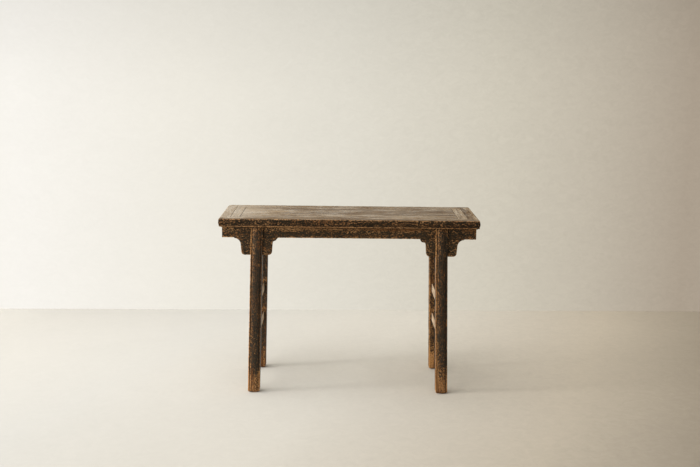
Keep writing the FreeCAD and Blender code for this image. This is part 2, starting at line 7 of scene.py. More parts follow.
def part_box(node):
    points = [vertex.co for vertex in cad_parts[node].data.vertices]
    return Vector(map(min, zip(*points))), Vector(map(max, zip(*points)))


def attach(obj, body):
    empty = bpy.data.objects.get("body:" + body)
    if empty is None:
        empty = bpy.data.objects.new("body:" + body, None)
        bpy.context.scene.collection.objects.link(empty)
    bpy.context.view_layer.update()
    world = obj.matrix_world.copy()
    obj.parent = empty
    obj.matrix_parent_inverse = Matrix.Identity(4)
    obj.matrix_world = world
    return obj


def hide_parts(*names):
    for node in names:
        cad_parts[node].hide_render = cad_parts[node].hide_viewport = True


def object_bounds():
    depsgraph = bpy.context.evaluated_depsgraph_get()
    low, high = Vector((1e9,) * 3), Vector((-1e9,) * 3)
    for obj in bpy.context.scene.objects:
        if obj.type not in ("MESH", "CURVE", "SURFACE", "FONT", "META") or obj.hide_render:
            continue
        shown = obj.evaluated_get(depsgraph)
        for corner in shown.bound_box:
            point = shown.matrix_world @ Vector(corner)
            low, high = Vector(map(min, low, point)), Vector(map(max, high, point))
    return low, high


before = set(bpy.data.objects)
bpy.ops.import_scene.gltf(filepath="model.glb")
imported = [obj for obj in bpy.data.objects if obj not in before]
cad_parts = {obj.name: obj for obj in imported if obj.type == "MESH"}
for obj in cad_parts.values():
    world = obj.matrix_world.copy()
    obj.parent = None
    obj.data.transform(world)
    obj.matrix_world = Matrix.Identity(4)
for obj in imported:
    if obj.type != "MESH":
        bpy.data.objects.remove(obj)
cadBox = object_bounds()
scene = bpy.context.scene
print("frame loaded:", len(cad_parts), "nodes")

# Sizes of the pieces are in millimetres, measured as on the bench, and the meshes are made
# in metres. The table stands on z = 0 with its length along x and its front towards -y.
millimetre = 0.001
alongX, alongY, alongZ = range(3)       # which way a piece and its fibres run


def boxOf(node):
    low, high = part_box(node)
    return low / millimetre, high / millimetre


halfLength, halfDepth, topHeight = cadBox[1] / millimetre

# The table's four corners: name, end and side.
quarters = [(f"{sideName}_{endName}", end, side)
            for sideName, side in (("front", -1), ("back", 1))
            for endName, end in (("left", -1), ("right", 1))]


# Smooth step of a value between two marks.
def fade(value, start, end):
    share = min(max((value - start) / (end - start), 0), 1)
    return share * share * (3 - 2 * share)


def between(start, end, share):
    return start + (end - start) * share


# Angles in degrees, with their sines and cosines.
def turns(angles):
    return [(angle, math.sin(math.radians(angle)), math.cos(math.radians(angle))) for angle in angles]


# Outlines. A corner is (across, up, radius, rub, nook): how rounded it is, how much hands,
# cloths and feet have rubbed it, and how much dirt and painted shade it holds. A rounding
# takes up less than half of the shorter side beside it.
def cornerArc(before, corner, after, radius, count, roomShare=0.48):
    tip = Vector(corner[:2])
    back = Vector(before[:2]) - tip
    ahead = Vector(after[:2]) - tip
    half = back.angle(ahead) / 2
    run = min(radius / math.tan(half), min(back.length, ahead.length) * roomShare)
    radius = run * math.tan(half)
    back.normalize()
    ahead.normalize()
    start, end = tip + back * run, tip + ahead * run
    centre = tip + (back + ahead).normalized() * (radius / math.sin(half))
    points = []
    for step in range(count + 1):
        chord = start.lerp(end, step / count) - centre
        points.append(centre + chord.normalized() * radius)
    return points


# A closed outline with rounded corners and evenly spaced points. Rub and nook fade away
# from the corners over the given reach.
def traceOutline(corners, spacing, reach=5.0, arcSteps=4):
    total = len(corners)
    arcs = []
    for number, corner in enumerate(corners):
        before, after = corners[number - 1], corners[(number + 1) % total]
        points = [Vector(corner[:2])]
        if corner[2] > 0:
            points = cornerArc(before, corner, after, corner[2], arcSteps)
        arcs.append([(point, corner[3], corner[4]) for point in points])
    outline = []
    for number, arc in enumerate(arcs):
        outline.extend(arc)
        start, rub, nook = arc[-1]
        end, nextRub, nextNook = arcs[(number + 1) % total][0]
        run = (end - start).length
        steps = max(1, round(run / spacing))
        for step in range(1, steps):
            share = step / steps
            fromStart = math.exp(-share * run / reach)
            fromEnd = math.exp(-(1 - share) * run / reach)
            outline.append((start.lerp(end, share), rub * fromStart + nextRub * fromEnd,
                            nook * fromStart + nextNook * fromEnd))
    return outline


# Outline of a straight board or bar, from its sizes for the upper and the lower edges.
def boxOutline(left, right, low, high, size):
    corners = [(across, up, size[level + "Edge"], *size[level + "Wear"]) for across, up, level in (
        (left, high, "top"), (right, high, "top"), (right, low, "low"), (left, low, "low"))]
    return traceOutline(corners, size["sideSpacing"], size["wearReach"], size["edgeSteps"])


# Points on the shorter arc between two corners whose centre lies at the given height.
def arcPoints(start, end, centreUp, count):
    squares = (end[0]**2 - start[0]**2 + (end[1] - centreUp)**2 - (start[1] - centreUp)**2) / 2
    across = squares / (end[0] - start[0])
    radius = math.hypot(start[0] - across, start[1] - centreUp)
    first = math.atan2(start[1] - centreUp, start[0] - across)
    last = math.atan2(end[1] - centreUp, end[0] - across)
    turn = (last - first + math.pi) % (2 * math.pi) - math.pi
    return [(across + radius * math.cos(first + turn * step / count),
             centreUp + radius * math.sin(first + turn * step / count))
            for step in range(1, count)]


def outwardNormals(points):
    total = len(points)
    area = sum(points[n - 1].x * points[n].y - points[n].x * points[n - 1].y for n in range(total))
    turn = 1 if area > 0 else -1
    normals = []
    for number in range(total):
        tangent = points[(number + 1) % total] - points[number - 1]
        normals.append(Vector((tangent.y, -tangent.x)).normalized() * turn)
    return normals


easeAngles = (35, 65, 90)       # degrees at which the rounding of a piece's end is drawn


# Stations from -1 to 1 along a piece of the given half length, with eased ends. Each is
# (share, inset of the outline there).
def stationList(half, spacing, ease):
    steps = max(2, round(2 * (half - ease) / spacing))
    inner = [(-(half - ease) + 2 * (half - ease) * step / steps, 0.0) for step in range(steps + 1)]
    tip = [(half - ease * (1 - sine), ease * (1 - cosine)) for _, sine, cosine in turns(easeAngles)]
    left = [(-along, inset) for along, inset in reversed(tip)]
    return [(along / half, inset) for along, inset in left + inner + tip]


class Shape:
    # Corners in millimetres with their rub, nook and bareness, and the faces between them.
    def __init__(self):
        self.corners = []
        self.wearAndPaintedLight = []
        self.faces = []

    def add(self, place, rub, nook, bare=0.0):
        self.corners.append(place)
        self.wearAndPaintedLight.append((rub, nook, bare))
        return len(self.corners) - 1

    def bridge(self, first, second):
        total = len(first)
        for number in range(total):
            after = (number + 1) % total
            self.faces.append((first[number], first[after], second[after], second[number]))


# Sweeps an outline along a piece. The place function turns (point, share along) into a
# place on the table.
def sweep(outline, stations, place, endRub):
    shape = Shape()
    normals = outwardNormals([item[0] for item in outline])
    rings = []
    for share, inset in stations:
        ring = []
        for (point, rub, nook), normal in zip(outline, normals):
            wornAndPaintedLight = max(rub, endRub if inset > 0 else 0)
            ring.append(shape.add(Vector(place(point - normal * inset, share)), wornAndPaintedLight, nook))
        rings.append(ring)
    for before, ring in zip(rings, rings[1:]):
        shape.bridge(before, ring)
    shape.faces += [tuple(rings[0]), tuple(rings[-1])]
    return shape


# How age has worn the wood, in millimetres. Everything wears inwards, so no piece grows.
wearing = {
    "wave": 0.35,               # old hand-planed surface
    "waveLength": 48,
    "fibre": 0.16,              # raised grain
    "fibreLength": 3.2,
    "fibreStretch": 0.09,       # share of the waves that is left along the grain
    "rubDepth": 1.0,            # rubbed edges
    "rubLength": 17,
    "rubSpread": (0.55, 0.9),   # middle of the depth's share, and how much it varies
    "chipDepth": 4.2,           # knocks on the edges
    "chipLength": 10,
    "chipLevel": 0.30,
    "chipRub": 0.25,            # rub above which an edge is knocked
    "chipShift": (9.1, 3.3, 5.7),       # keeps the knocks apart from the other wear
    "seedShift": (37, 11, 23),  # how far each piece's wear is set off from the last one's
    "lookUp": 0.6,              # upward part of the normal on faces that look up
    "sharpAngle": 52,           # degrees
}


def wornDepth(place, along, rub, seed):
    spot = place + Vector(wearing["seedShift"]) * seed
    wave = wearing["wave"] * (0.5 + 0.5 * noise.noise(spot / wearing["waveLength"]))
    stretched = spot / wearing["fibreLength"]
    stretched[along] *= wearing["fibreStretch"]
    fibre = wearing["fibre"] * (0.5 + 0.5 * noise.noise(stretched))
    middle, spread = wearing["rubSpread"]
    uneven = middle + spread * noise.noise(spot / wearing["rubLength"])
    rubbed = max(0, wearing["rubDepth"] * rub * rub * uneven)
    knock = noise.noise(spot / wearing["chipLength"] + Vector(wearing["chipShift"]))
    edge = max(0, rub - wearing["chipRub"])
    return wave + fibre + rubbed + wearing["chipDepth"] * max(0, knock - wearing["chipLevel"]) * edge


# Each piece is cut from another part of the tree, given in metres.
grainPlaces = {
    "heart": ((0.045, 0.075), (0.013, -0.011)),     # nearest place, and the steps away from it
    "cycles": (5, 3),           # after how many pieces the steps start again
    "shift": (3.17, 0.219),     # along and across the grain, for each piece
}


# Grain coordinates in metres: along the fibres first, then across, set off from the heart.
def grainAt(place, along, seed):
    first, second = (place[axis] * millimetre for axis in (0, 1, 2) if axis != along)
    heart = [near + step * (seed % cycle)
             for near, step, cycle in zip(*grainPlaces["heart"], grainPlaces["cycles"])]
    shiftAlong, shiftAcross = grainPlaces["shift"]
    return (place[along] * millimetre + seed * shiftAlong,
            first + heart[0] + seed * shiftAcross,
            second + heart[1])


# Makes the mesh that replaces a node: wears it down, then stores grain, and wear with the
# painted light and shade in it, for its finish. The quiet function changes the rub at a place,
# the upper one the bareness of what looks up, painted light included.
def makePiece(node, shape, along, seed, look, quiet=None, upper=None, depthShare=1.0):
    mesh = bpy.data.meshes.new(node + "_worn")
    mesh.from_pydata(shape.corners, [], shape.faces)
    turned = bmesh.new()
    turned.from_mesh(mesh)
    bmesh.ops.recalc_face_normals(turned, faces=turned.faces)
    turned.to_mesh(mesh)
    turned.free()
    normals = [corner.vector.copy() for corner in mesh.vertex_normals]
    grain = []
    wearAndPaintedLight = []
    for vertex, normal, (rub, nook, bare) in zip(mesh.vertices, normals, shape.wearAndPaintedLight):
        place = vertex.co.copy()
        if quiet is not None:
            rub = quiet(place, rub)
        if upper is not None and normal.z > wearing["lookUp"]:
            bare = upper(place)
        grain.extend(grainAt(place, along, seed))
        wearAndPaintedLight.extend((rub, nook, bare))
        depth = wornDepth(place, along, rub, seed) * depthShare
        vertex.co = (place - normal * depth) * millimetre
        vertex.co.z = max(vertex.co.z, 0)
    for label, values in (("grain", grain), ("wearAndPaintedLight", wearAndPaintedLight)):
        layer = mesh.attributes.new(label, "FLOAT_VECTOR", "POINT")
        layer.data.foreach_set("vector", values)
    mesh.shade_smooth()
    mesh.set_sharp_from_angle(angle=math.radians(wearing["sharpAngle"]))
    piece = bpy.data.objects.new(node + "_worn", mesh)
    scene.collection.objects.link(piece)
    mesh.materials.append(materials[look])
    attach(piece, "root")
    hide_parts(node)


# Makes a piece by sweeping an outline along it, with the sizes that all swept pieces have.
def makeSwept(node, size, outline, place, half, along, seed, look, **changes):
    stations = stationList(half, size["spacing"], size["ease"])
    makePiece(node, sweep(outline, stations, place, size["endRub"]), along, seed, look, **changes)


# Places a piece that runs straight along x or y, at the given end of the table.
def straight(along, reach, end=1):
    def place(point, share):
        spot = [end * point.x, end * point.x, point.y]
        spot[along] = share * reach
        return spot

    return place


# Places a strip that runs along x or y round a rectangle of the given halves, and is mitred
# at its ends over no more than the given width.
def mitred(halves, along, way, gap, width=math.inf):
    def place(point, share):
        spot = [way * (half - point.x) for half in halves]
        spot[along] = share * (halves[along] - min(point.x, width) - gap)
        return spot

    return place


# Shader helpers. A value may be a number, a colour or another node's socket.
def setInput(tree, socket, value):
    if isinstance(value, bpy.types.NodeSocket):
        tree.links.new(value, socket)
    elif socket.type == "RGBA" and len(value) == 3:
        socket.default_value = (*value, 1)
    else:
        socket.default_value = value


def addNode(tree, kind, settings=None, **inputs):
    made = tree.nodes.new("ShaderNode" + kind)
    for name, value in (settings or {}).items():
        setattr(made, name, value)
    for name, value in inputs.items():
        setInput(tree, made.inputs[name], value)
    return made


def calc(tree, operation, *values, kind="Math"):
    made = addNode(tree, kind, {"operation": operation})
    for socket, value in zip(made.inputs, values):
        setInput(tree, socket, value)
    return made.outputs[0]


# Adds amounts of some values to a total.
def addUp(tree, total, *parts):
    for value, amount in parts:
        total = calc(tree, "MULTIPLY_ADD", value, amount, total)
    return total


# Adds amounts of some noises to a total, so that a noise's middle value changes nothing.
def vary(tree, total, *parts):
    return addUp(tree, total, *((calc(tree, "SUBTRACT", value, 0.5), amount) for value, amount in parts))


def stretch(tree, vector, amounts):
    return calc(tree, "MULTIPLY", vector, amounts, kind="VectorMath")


def split(tree, vector):
    return addNode(tree, "SeparateXYZ", Vector=vector).outputs


# Smooth step of a value from start to end, put out from low to high.
def ramp(tree, value, start, end, low=0.0, high=1.0):
    made = addNode(tree, "MapRange", {"interpolation_type": "SMOOTHSTEP"}, Value=value)
    for name, item in (("From Min", start), ("From Max", end), ("To Min", low), ("To Max", high)):
        setInput(tree, made.inputs[name], item)
    return made.outputs[0]


def blend(tree, share, first, second, mode="MIX"):
    made = addNode(tree, "Mix", {"data_type": "RGBA", "blend_type": mode})
    for number, value in ((0, share), (6, first), (7, second)):
        setInput(tree, made.inputs[number], value)
    return made.outputs[2]


def mixShaders(tree, share, first, second):
    made = addNode(tree, "MixShader")
    for socket, value in zip(made.inputs, (share, first, second)):
        setInput(tree, socket, value)
    return made.outputs[0]


# Noise with its own scale along each axis, in waves to the metre.
def noiseOf(tree, vector, scales, detail, roughness, distortion=0.0):
    return addNode(tree, "TexNoise", Vector=stretch(tree, vector, scales), Scale=1.0, Detail=detail,
                   Roughness=roughness, Distortion=distortion).outputs


# A shader group whose first input is the grain. The other inputs have their usual values.
def newGroup(name, inputs, outputs):
    group = bpy.data.node_groups.new(name, "ShaderNodeTree")
    group.interface.new_socket("Grain", in_out="INPUT", socket_type="NodeSocketVector")
    for label, value in inputs.items():
        socket = group.interface.new_socket(label, in_out="INPUT", socket_type="NodeSocketFloat")
        socket.default_value = value
    for label in outputs:
        group.interface.new_socket(label, in_out="OUTPUT", socket_type="NodeSocketFloat")
    return group, group.nodes.new("NodeGroupInput").outputs


def putOut(group, **values):
    ends = group.nodes.new("NodeGroupOutput").inputs
    for label, value in values.items():
        setInput(group, ends[label], value)
    return group


def useGroup(tree, group, **inputs):
    return addNode(tree, "Group", {"node_tree": group}, **inputs).outputs


# A noise is its scales along and across the grain, its detail, roughness and, where it has
# one, distortion.
figureSizes = {
    "warp": ((1.7, 11, 11), 2.0, 0.5),
    "ringLevels": (0.05, 0.95),
    "pores": ((70, 1150, 1150), 2.0, 0.5),
    "poreLevels": (0.60, 0.70),
    "soft": {
        "Fibres": ((16, 430, 430), 3.0, 0.6),
        "Streaks": ((2.6, 52, 52), 4.0, 0.6, 0.4),
        "Bands": ((1.7, 21, 21), 2.0, 0.5, 0.3),
        "Stains": ((8, 33, 33), 6.0, 0.74, 0.4),
    },
}


# Figure of the wood: growth rings, open pores, and from fine to broad its fibres, streaks,
# stains and bands.
def makeWoodFigure():
    size = figureSizes
    group, given = newGroup("woodFigure", {"Spacing": 0.004, "Waver": 0.012},
                            ("Rings", "Pores", *size["soft"]))
    grain = given["Grain"]
    warp = noiseOf(group, grain, *size["warp"])["Color"]
    centred = calc(group, "ADD", warp, (-0.5, -0.5, -0.5), kind="VectorMath")
    bend = addNode(group, "VectorMath", {"operation": "SCALE"}, Vector=centred, Scale=given["Waver"])
    bent = calc(group, "ADD", grain, bend.outputs[0], kind="VectorMath")
    across = stretch(group, bent, (0, 1, 1))
    radius = addNode(group, "VectorMath", {"operation": "LENGTH"}, Vector=across).outputs["Value"]
    ring = calc(group, "PINGPONG", calc(group, "DIVIDE", radius, given["Spacing"]), 1.0)
    soft = {label: noiseOf(group, grain, *settings)[0] for label, settings in size["soft"].items()}
    pores = noiseOf(group, grain, *size["pores"])[0]
    return putOut(group, Rings=ramp(group, ring, *size["ringLevels"]),
                  Pores=ramp(group, pores, *size["poreLevels"]), **soft)


flakeSizes = {
    "broad": ((9, 26, 26), 2.0, 0.5),
    "patch": ((110, 185, 185), 4.0, 0.74, 0.6),
    "speck": ((600, 850, 850), 2.0, 0.6),
    "cells": (190, 270, 270),   # flakes to the metre along and across the grain
    "wander": ((240, 240, 240), 2.0, 0.5),
    "wanderReach": (1.1, 1.1, 1.1),     # how ragged the wander noise makes the flakes
    "crackWidth": 0.12,
    "amounts": (0.5, 1.8, 0.4, -0.10),  # of the broad, patch and speck noises and the cracks
    "lacquerLevels": (0.46, 0.53),
    "fringeLevels": (0.26, 0.46),
    "nickRub": (0.3, 0.9),      # rub at which nicks start and are as common as they get
    "nickChance": (0.90, 0.95),
    "nickSize": (0.15, 0.45),
    "relief": (0.6, 0.4),               # of the lacquer and the specks
}


# Old crazed lacquer that has flaked off cell by cell and rubbed off along the edges, with a
# brown fringe round each remnant and small pale nicks where it is rubbed most.
def makeFlakedLacquer():
    size = flakeSizes
    group, given = newGroup("flakedLacquer", {"Cover": 0.6, "Crazing": 0.35, "Rub": 0.0, "Loss": 0.5},
                            ("Lacquer", "Fringe", "Nicks", "Mottle", "Height"))
    grain = given["Grain"]
    broad, patch, speck = (noiseOf(group, grain, *size[name])[0] for name in ("broad", "patch", "speck"))
    wander = noiseOf(group, grain, *size["wander"])["Color"]
    ragged = calc(group, "MULTIPLY_ADD", wander, size["wanderReach"],
                  stretch(group, grain, size["cells"]), kind="VectorMath")
    cells = addNode(group, "TexVoronoi", {"feature": "F1"}, Vector=ragged, Scale=1.0).outputs
    edges = addNode(group, "TexVoronoi", {"feature": "DISTANCE_TO_EDGE"}, Vector=ragged, Scale=1.0)
    chance = split(group, cells["Color"])
    crack = ramp(group, edges.outputs["Distance"], 0.0, size["crackWidth"], 1.0, 0.0)
    broadAmount, patchAmount, speckAmount, crackAmount = size["amounts"]
    level = vary(group, given["Cover"], (broad, broadAmount), (patch, patchAmount),
                 (chance["X"], given["Crazing"]), (speck, speckAmount))
    level = addUp(group, level, (crack, crackAmount))
    level = calc(group, "SUBTRACT", level, calc(group, "MULTIPLY", given["Rub"], given["Loss"]))
    lacquer = ramp(group, level, *size["lacquerLevels"])
    rare = calc(group, "MULTIPLY", chance["Y"], ramp(group, given["Rub"], *size["nickRub"]))
    small = ramp(group, cells["Distance"], *size["nickSize"], 1.0, 0.0)
    nicks = calc(group, "MULTIPLY", ramp(group, rare, *size["nickChance"]), small)
    raised = addUp(group, 0.0, *zip((lacquer, speck), size["relief"]))
    return putOut(group, Lacquer=lacquer, Fringe=ramp(group, level, *size["fringeLevels"]),
                  Nicks=nicks, Mottle=patch, Height=raised)


dirtAndShadeSizes = {
    "cloud": ((60, 90, 90), 4.0, 0.65),
    "grimeAndShadeUnevenness": 0.8,
    "grimeAndShadeLevels": (0.25, 0.85),
    "dustLevels": (0.35, 0.75),
    "upward": (0.2, 0.95, 0.25, 1.0),   # from steep to level faces, and how much dust on each
}


# Dark grime and painted shade held in the corners, and a little pale dust on faces that look up.
def makeSettledDirtAndShade():
    size = dirtAndShadeSizes
    group, given = newGroup("settledDirtAndShade", {"Nook": 0.0, "GrimeAmount": 0.8, "DustAmount": 0.2},
                            ("Grime", "Dust"))
    facing = split(group, addNode(group, "NewGeometry").outputs["Normal"])
    cloud = noiseOf(group, given["Grain"], *size["cloud"])[0]
    held = vary(group, given["Nook"], (cloud, size["grimeAndShadeUnevenness"]))
    grimeAndShade = calc(group, "MULTIPLY", ramp(group, held, *size["grimeAndShadeLevels"]), given["GrimeAmount"])
    dust = calc(group, "MULTIPLY", ramp(group, cloud, *size["dustLevels"]),
                ramp(group, facing["Z"], *size["upward"]))
    return putOut(group, Grime=grimeAndShade, Dust=calc(group, "MULTIPLY", dust, given["DustAmount"]))


groups = {"figure": makeWoodFigure(), "lacquer": makeFlakedLacquer(), "dirtAndShade": makeSettledDirtAndShade()}


def newMaterial(name):
    material = bpy.data.materials.new(name)
    material.use_nodes = True
    material.node_tree.nodes.clear()
    return material, material.node_tree


def storedVector(tree, name):
    made = addNode(tree, "Attribute", {"attribute_type": "GEOMETRY", "attribute_name": name})
    return made.outputs["Vector"]


# Colours are linear. Cover is how much lacquer is left, streakCover how much the wood's
# streaks change that, and loss how much of it a rub takes off. Fineness is the scale of its
# flakes, and crazing how far they follow single cells. Streaks, bands and stains are how
# strongly they show in the wood, and polish is how much glossier the pale stains are. Hands
# have made rubbed wood paler by the rub tone, which on the legs' left edges also paints the
# window's glint, and light has greyed bare wood by the bleach, which on the top's left end is
# painted light from the window.
plainLook = {
    "fineness": 1.0, "streaks": 2.3, "bands": 0.4, "bleachAndPaintedLight": 0.0, "stains": 0.3, "rubToneAndPaintedGlint": 0.0,
    "polish": 0.0, "dust": 0.12,
}
lacqueredLook = {
    **plainLook, "streakCover": 0.30, "fineness": 1.1, "bands": 0.3, "stains": 0.5, "dust": 0.03,
    "spacing": 0.0045, "specular": 0.12,
}
looks = {
    "wornLacquer": {
        **lacqueredLook,
        "lacquerDark": (0.013, 0.0090, 0.0045),
        "lacquerPale": (0.038, 0.029, 0.018),
        "fringe": (0.120, 0.050, 0.016),
        "woodDark": (0.18, 0.075, 0.025),
        "woodPale": (0.41, 0.23, 0.10),
        "nick": (0.46, 0.29, 0.15),
        "cover": 0.765, "crazing": 0.70, "loss": 0.52, "bleachAndPaintedLight": 0.1, "rubToneAndPaintedGlint": 0.5,
        "grimeAndShade": 0.7, "lacquerGloss": 0.54, "woodGloss": 0.66,
    },
    "frameLacquer": {
        **lacqueredLook,
        "lacquerDark": (0.008, 0.0050, 0.0020),
        "lacquerPale": (0.022, 0.015, 0.008),
        "fringe": (0.115, 0.047, 0.015),
        "woodDark": (0.17, 0.070, 0.023),
        "woodPale": (0.41, 0.226, 0.10),
        "nick": (0.50, 0.32, 0.17),
        "cover": 0.835, "crazing": 0.75, "loss": 0.56, "rubToneAndPaintedGlint": 1.0,
        "grimeAndShade": 0.8, "lacquerGloss": 0.45, "woodGloss": 0.60,
    },
    # On the legs the rub tone and the pale wood also paint the window's glint on the left edges.
    "legLacquer": {
        **lacqueredLook,
        "lacquerDark": (0.0075, 0.0052, 0.0026),
        "lacquerPale": (0.036, 0.028, 0.018),
        "fringe": (0.115, 0.043, 0.012),
        "woodDark": (0.080, 0.028, 0.007),
        "woodPale": (0.45, 0.225, 0.080),
        "nick": (0.55, 0.38, 0.22),
        "cover": 0.83, "streakCover": 0.45, "fineness": 1.2, "crazing": 0.70, "loss": 0.50,
        "streaks": 3.4, "bands": 0.4, "bleachAndPaintedLight": -0.05, "stains": 1.2, "rubToneAndPaintedGlint": 1.5,
        "grimeAndShade": 0.8, "spacing": 0.004, "specular": 0.23, "lacquerGloss": 0.44, "woodGloss": 0.64,
    },
    "rubbedTop": {
        **plainLook,
        "lacquerDark": (0.050, 0.030, 0.016),
        "lacquerPale": (0.11, 0.070, 0.040),
        "fringe": (0.15, 0.090, 0.046),
        "woodDark": (0.090, 0.052, 0.025),
        "woodPale": (0.308, 0.213, 0.115),
        "nick": (0.50, 0.40, 0.28),
        "cover": 0.26, "streakCover": 1.3, "fineness": 0.8, "crazing": 0.24, "loss": 0.25,
        "streaks": 3.8, "bands": 1.6, "bleachAndPaintedLight": 0.55, "stains": 2.2, "polish": 2.6,
        "grimeAndShade": 0.75, "spacing": 0.006, "specular": 0.3, "lacquerGloss": 0.40, "woodGloss": 0.44,
    },
    "stretcherWood": {
        **plainLook,
        "lacquerDark": (0.030, 0.022, 0.014),
        "lacquerPale": (0.085, 0.062, 0.040),
        "fringe": (0.15, 0.085, 0.040),
        "woodDark": (0.42, 0.28, 0.17),
        "woodPale": (0.80, 0.64, 0.46),
        "nick": (0.66, 0.54, 0.40),
        "cover": 0.26, "streakCover": 0.9, "crazing": 0.25, "loss": 0.45,
        "grimeAndShade": 0.5, "spacing": 0.004, "specular": 0.2, "lacquerGloss": 0.5, "woodGloss": 0.66,
    },
    "bareWood": {
        **plainLook,
        "lacquerDark": (0.045, 0.030, 0.020),
        "lacquerPale": (0.085, 0.058, 0.038),
        "fringe": (0.14, 0.085, 0.045),
        "woodDark": (0.15, 0.090, 0.045),
        "woodPale": (0.31, 0.20, 0.115),
        "nick": (0.40, 0.28, 0.18),
        "cover": 0.16, "streakCover": 0.6, "crazing": 0.2, "loss": 0.2,
        "grimeAndShade": 0.6, "spacing": 0.005, "specular": 0.15, "lacquerGloss": 0.7, "woodGloss": 0.78,
    },
}
upperLooks = {"frameLacquer": "rubbedTop", "stretcherWood": "legLacquer"}

# What all looks share.
finishing = {
    "rings": 0.28,              # how strongly rings and fibres show in the wood
    "fibres": 0.85,
    "toneStart": -0.13,
    "toneLevels": (0.0, 0.9),
    "rubStart": 0.6,            # rub above which the wood is paler: rubbed by hands, and a painted glint on the legs
    "bleachedAndPaintedLight": (0.345, 0.313, 0.266),      # colour of greyed wood, and of the painted light on the top's left end
    "poreDepth": 0.75,
    "mottle": (0.6, 0.4),       # shares of patches and fibres in the lacquer's colour
    "mottleLevels": (0.42, 0.62),
    "grimeAndShade": (0.016, 0.010, 0.006),     # colours of grime with painted shade, and of dust
    "dust": (0.42, 0.37, 0.29),
    "fibreGloss": 0.18,         # how much the fibres vary the roughness
    "grimeGloss": 0.85,         # roughness of the grime
    "relief": (0.8, 0.35, -0.3),    # of the lacquer, the fibres and the pores
    "bumpStrength": 0.55,
    "bumpDepth": 0.0007,
    "tint": (1.0, 0.92, 0.80),  # colour of its reflections
    "upperNoise": ((90, 160, 160), 3.0, 0.65),      # ragged limit of what looks up
    "upperRaggedness": 0.5,
    "upperLevels": (0.95, 1.2),
}


# One look as layers: wood below, what is left of the lacquer above it, dirt and painted shade over both.
def layerLook(tree, grain, wearAndPaintedLight, look):
    shared = finishing
    figure = useGroup(tree, groups["figure"], Grain=grain, Spacing=look["spacing"])
    coat = useGroup(tree, groups["lacquer"], Grain=stretch(tree, grain, (look["fineness"],) * 3),
                    Cover=vary(tree, look["cover"], (figure["Streaks"], look["streakCover"])),
                    Crazing=look["crazing"], Rub=calc(tree, "ADD", wearAndPaintedLight["X"], wearAndPaintedLight["Z"]),
                    Loss=look["loss"])
    dirtAndShade = useGroup(tree, groups["dirtAndShade"], Grain=grain, Nook=wearAndPaintedLight["Y"], GrimeAmount=look["grimeAndShade"],
                    DustAmount=look["dust"])
    # Wood rubbed past the start is made paler; on the legs' left edges this is a painted glint.
    rubbed = calc(tree, "MAXIMUM", calc(tree, "SUBTRACT", wearAndPaintedLight["X"], shared["rubStart"]), 0.0)
    tone = addUp(tree, shared["toneStart"], (figure["Rings"], shared["rings"]),
                 (figure["Fibres"], shared["fibres"]), (wearAndPaintedLight["Z"], look["bleachAndPaintedLight"]),
                 (rubbed, look["rubToneAndPaintedGlint"]))
    tone = vary(tree, tone, (figure["Streaks"], look["streaks"]), (figure["Bands"], look["bands"]),
                (figure["Stains"], look["stains"]))
    wood = blend(tree, ramp(tree, tone, *shared["toneLevels"]), look["woodDark"], look["woodPale"])
    # Bare wood is greyed by the bleach; on the top's left end this is painted light.
    wood = blend(tree, calc(tree, "MULTIPLY", wearAndPaintedLight["Z"], look["bleachAndPaintedLight"]), wood, shared["bleachedAndPaintedLight"])
    wood = blend(tree, calc(tree, "MULTIPLY", figure["Pores"], shared["poreDepth"]), wood, look["fringe"])
    mottle = addUp(tree, 0.0, *zip((coat["Mottle"], figure["Fibres"]), shared["mottle"]))
    lacquer = blend(tree, ramp(tree, mottle, *shared["mottleLevels"]), look["lacquerDark"],
                    look["lacquerPale"])
    base = blend(tree, coat["Fringe"], wood, look["fringe"])
    base = blend(tree, coat["Lacquer"], base, lacquer)
    base = blend(tree, coat["Nicks"], base, look["nick"])
    # Grime and painted shade darken the nooks.
    base = blend(tree, dirtAndShade["Grime"], base, shared["grimeAndShade"])
    base = blend(tree, dirtAndShade["Dust"], base, shared["dust"])
    gloss = addUp(tree, look["woodGloss"], (coat["Lacquer"], look["lacquerGloss"] - look["woodGloss"]))
    gloss = vary(tree, gloss, (figure["Fibres"], shared["fibreGloss"]), (figure["Stains"], -look["polish"]))
    gloss = calc(tree, "MAXIMUM", gloss, calc(tree, "MULTIPLY", dirtAndShade["Grime"], shared["grimeGloss"]))
    relief = addUp(tree, 0.0, *zip((coat["Height"], figure["Fibres"], figure["Pores"]), shared["relief"]))
    return base, gloss, relief


# A finish of one look, or of two where faces that look up are worn another way.
def makeFinish(name, look, upperLook=None):
    shared = finishing
    material, tree = newMaterial(name)
    grain = storedVector(tree, "grain")
    wearAndPaintedLight = split(tree, storedVector(tree, "wearAndPaintedLight"))
    base, gloss, relief = layerLook(tree, grain, wearAndPaintedLight, look)
    if upperLook is not None:
        facing = split(tree, addNode(tree, "NewGeometry").outputs["Normal"])
        ragged = noiseOf(tree, grain, *shared["upperNoise"])[0]
        level = addUp(tree, facing["Z"], (ragged, shared["upperRaggedness"]))
        share = ramp(tree, level, *shared["upperLevels"])
        base, gloss, relief = (blend(tree, share, *pair) for pair in zip(
            (base, gloss, relief), layerLook(tree, grain, wearAndPaintedLight, upperLook)))
    bump = addNode(tree, "Bump", Strength=shared["bumpStrength"], Distance=shared["bumpDepth"],
                   Height=relief)
    shader = addNode(tree, "BsdfPrincipled", Roughness=gloss, Normal=bump.outputs["Normal"])
    for label, value in (("Base Color", base), ("Specular IOR Level", look["specular"]),
                         ("Specular Tint", shared["tint"])):
        setInput(tree, shader.inputs[label], value)
    addNode(tree, "OutputMaterial", Surface=shader.outputs["BSDF"])
    return material


materials = {name: makeFinish(name, look, looks.get(upperLooks.get(name)))
             for name, look in looks.items()}
print("finishes made:", len(materials))

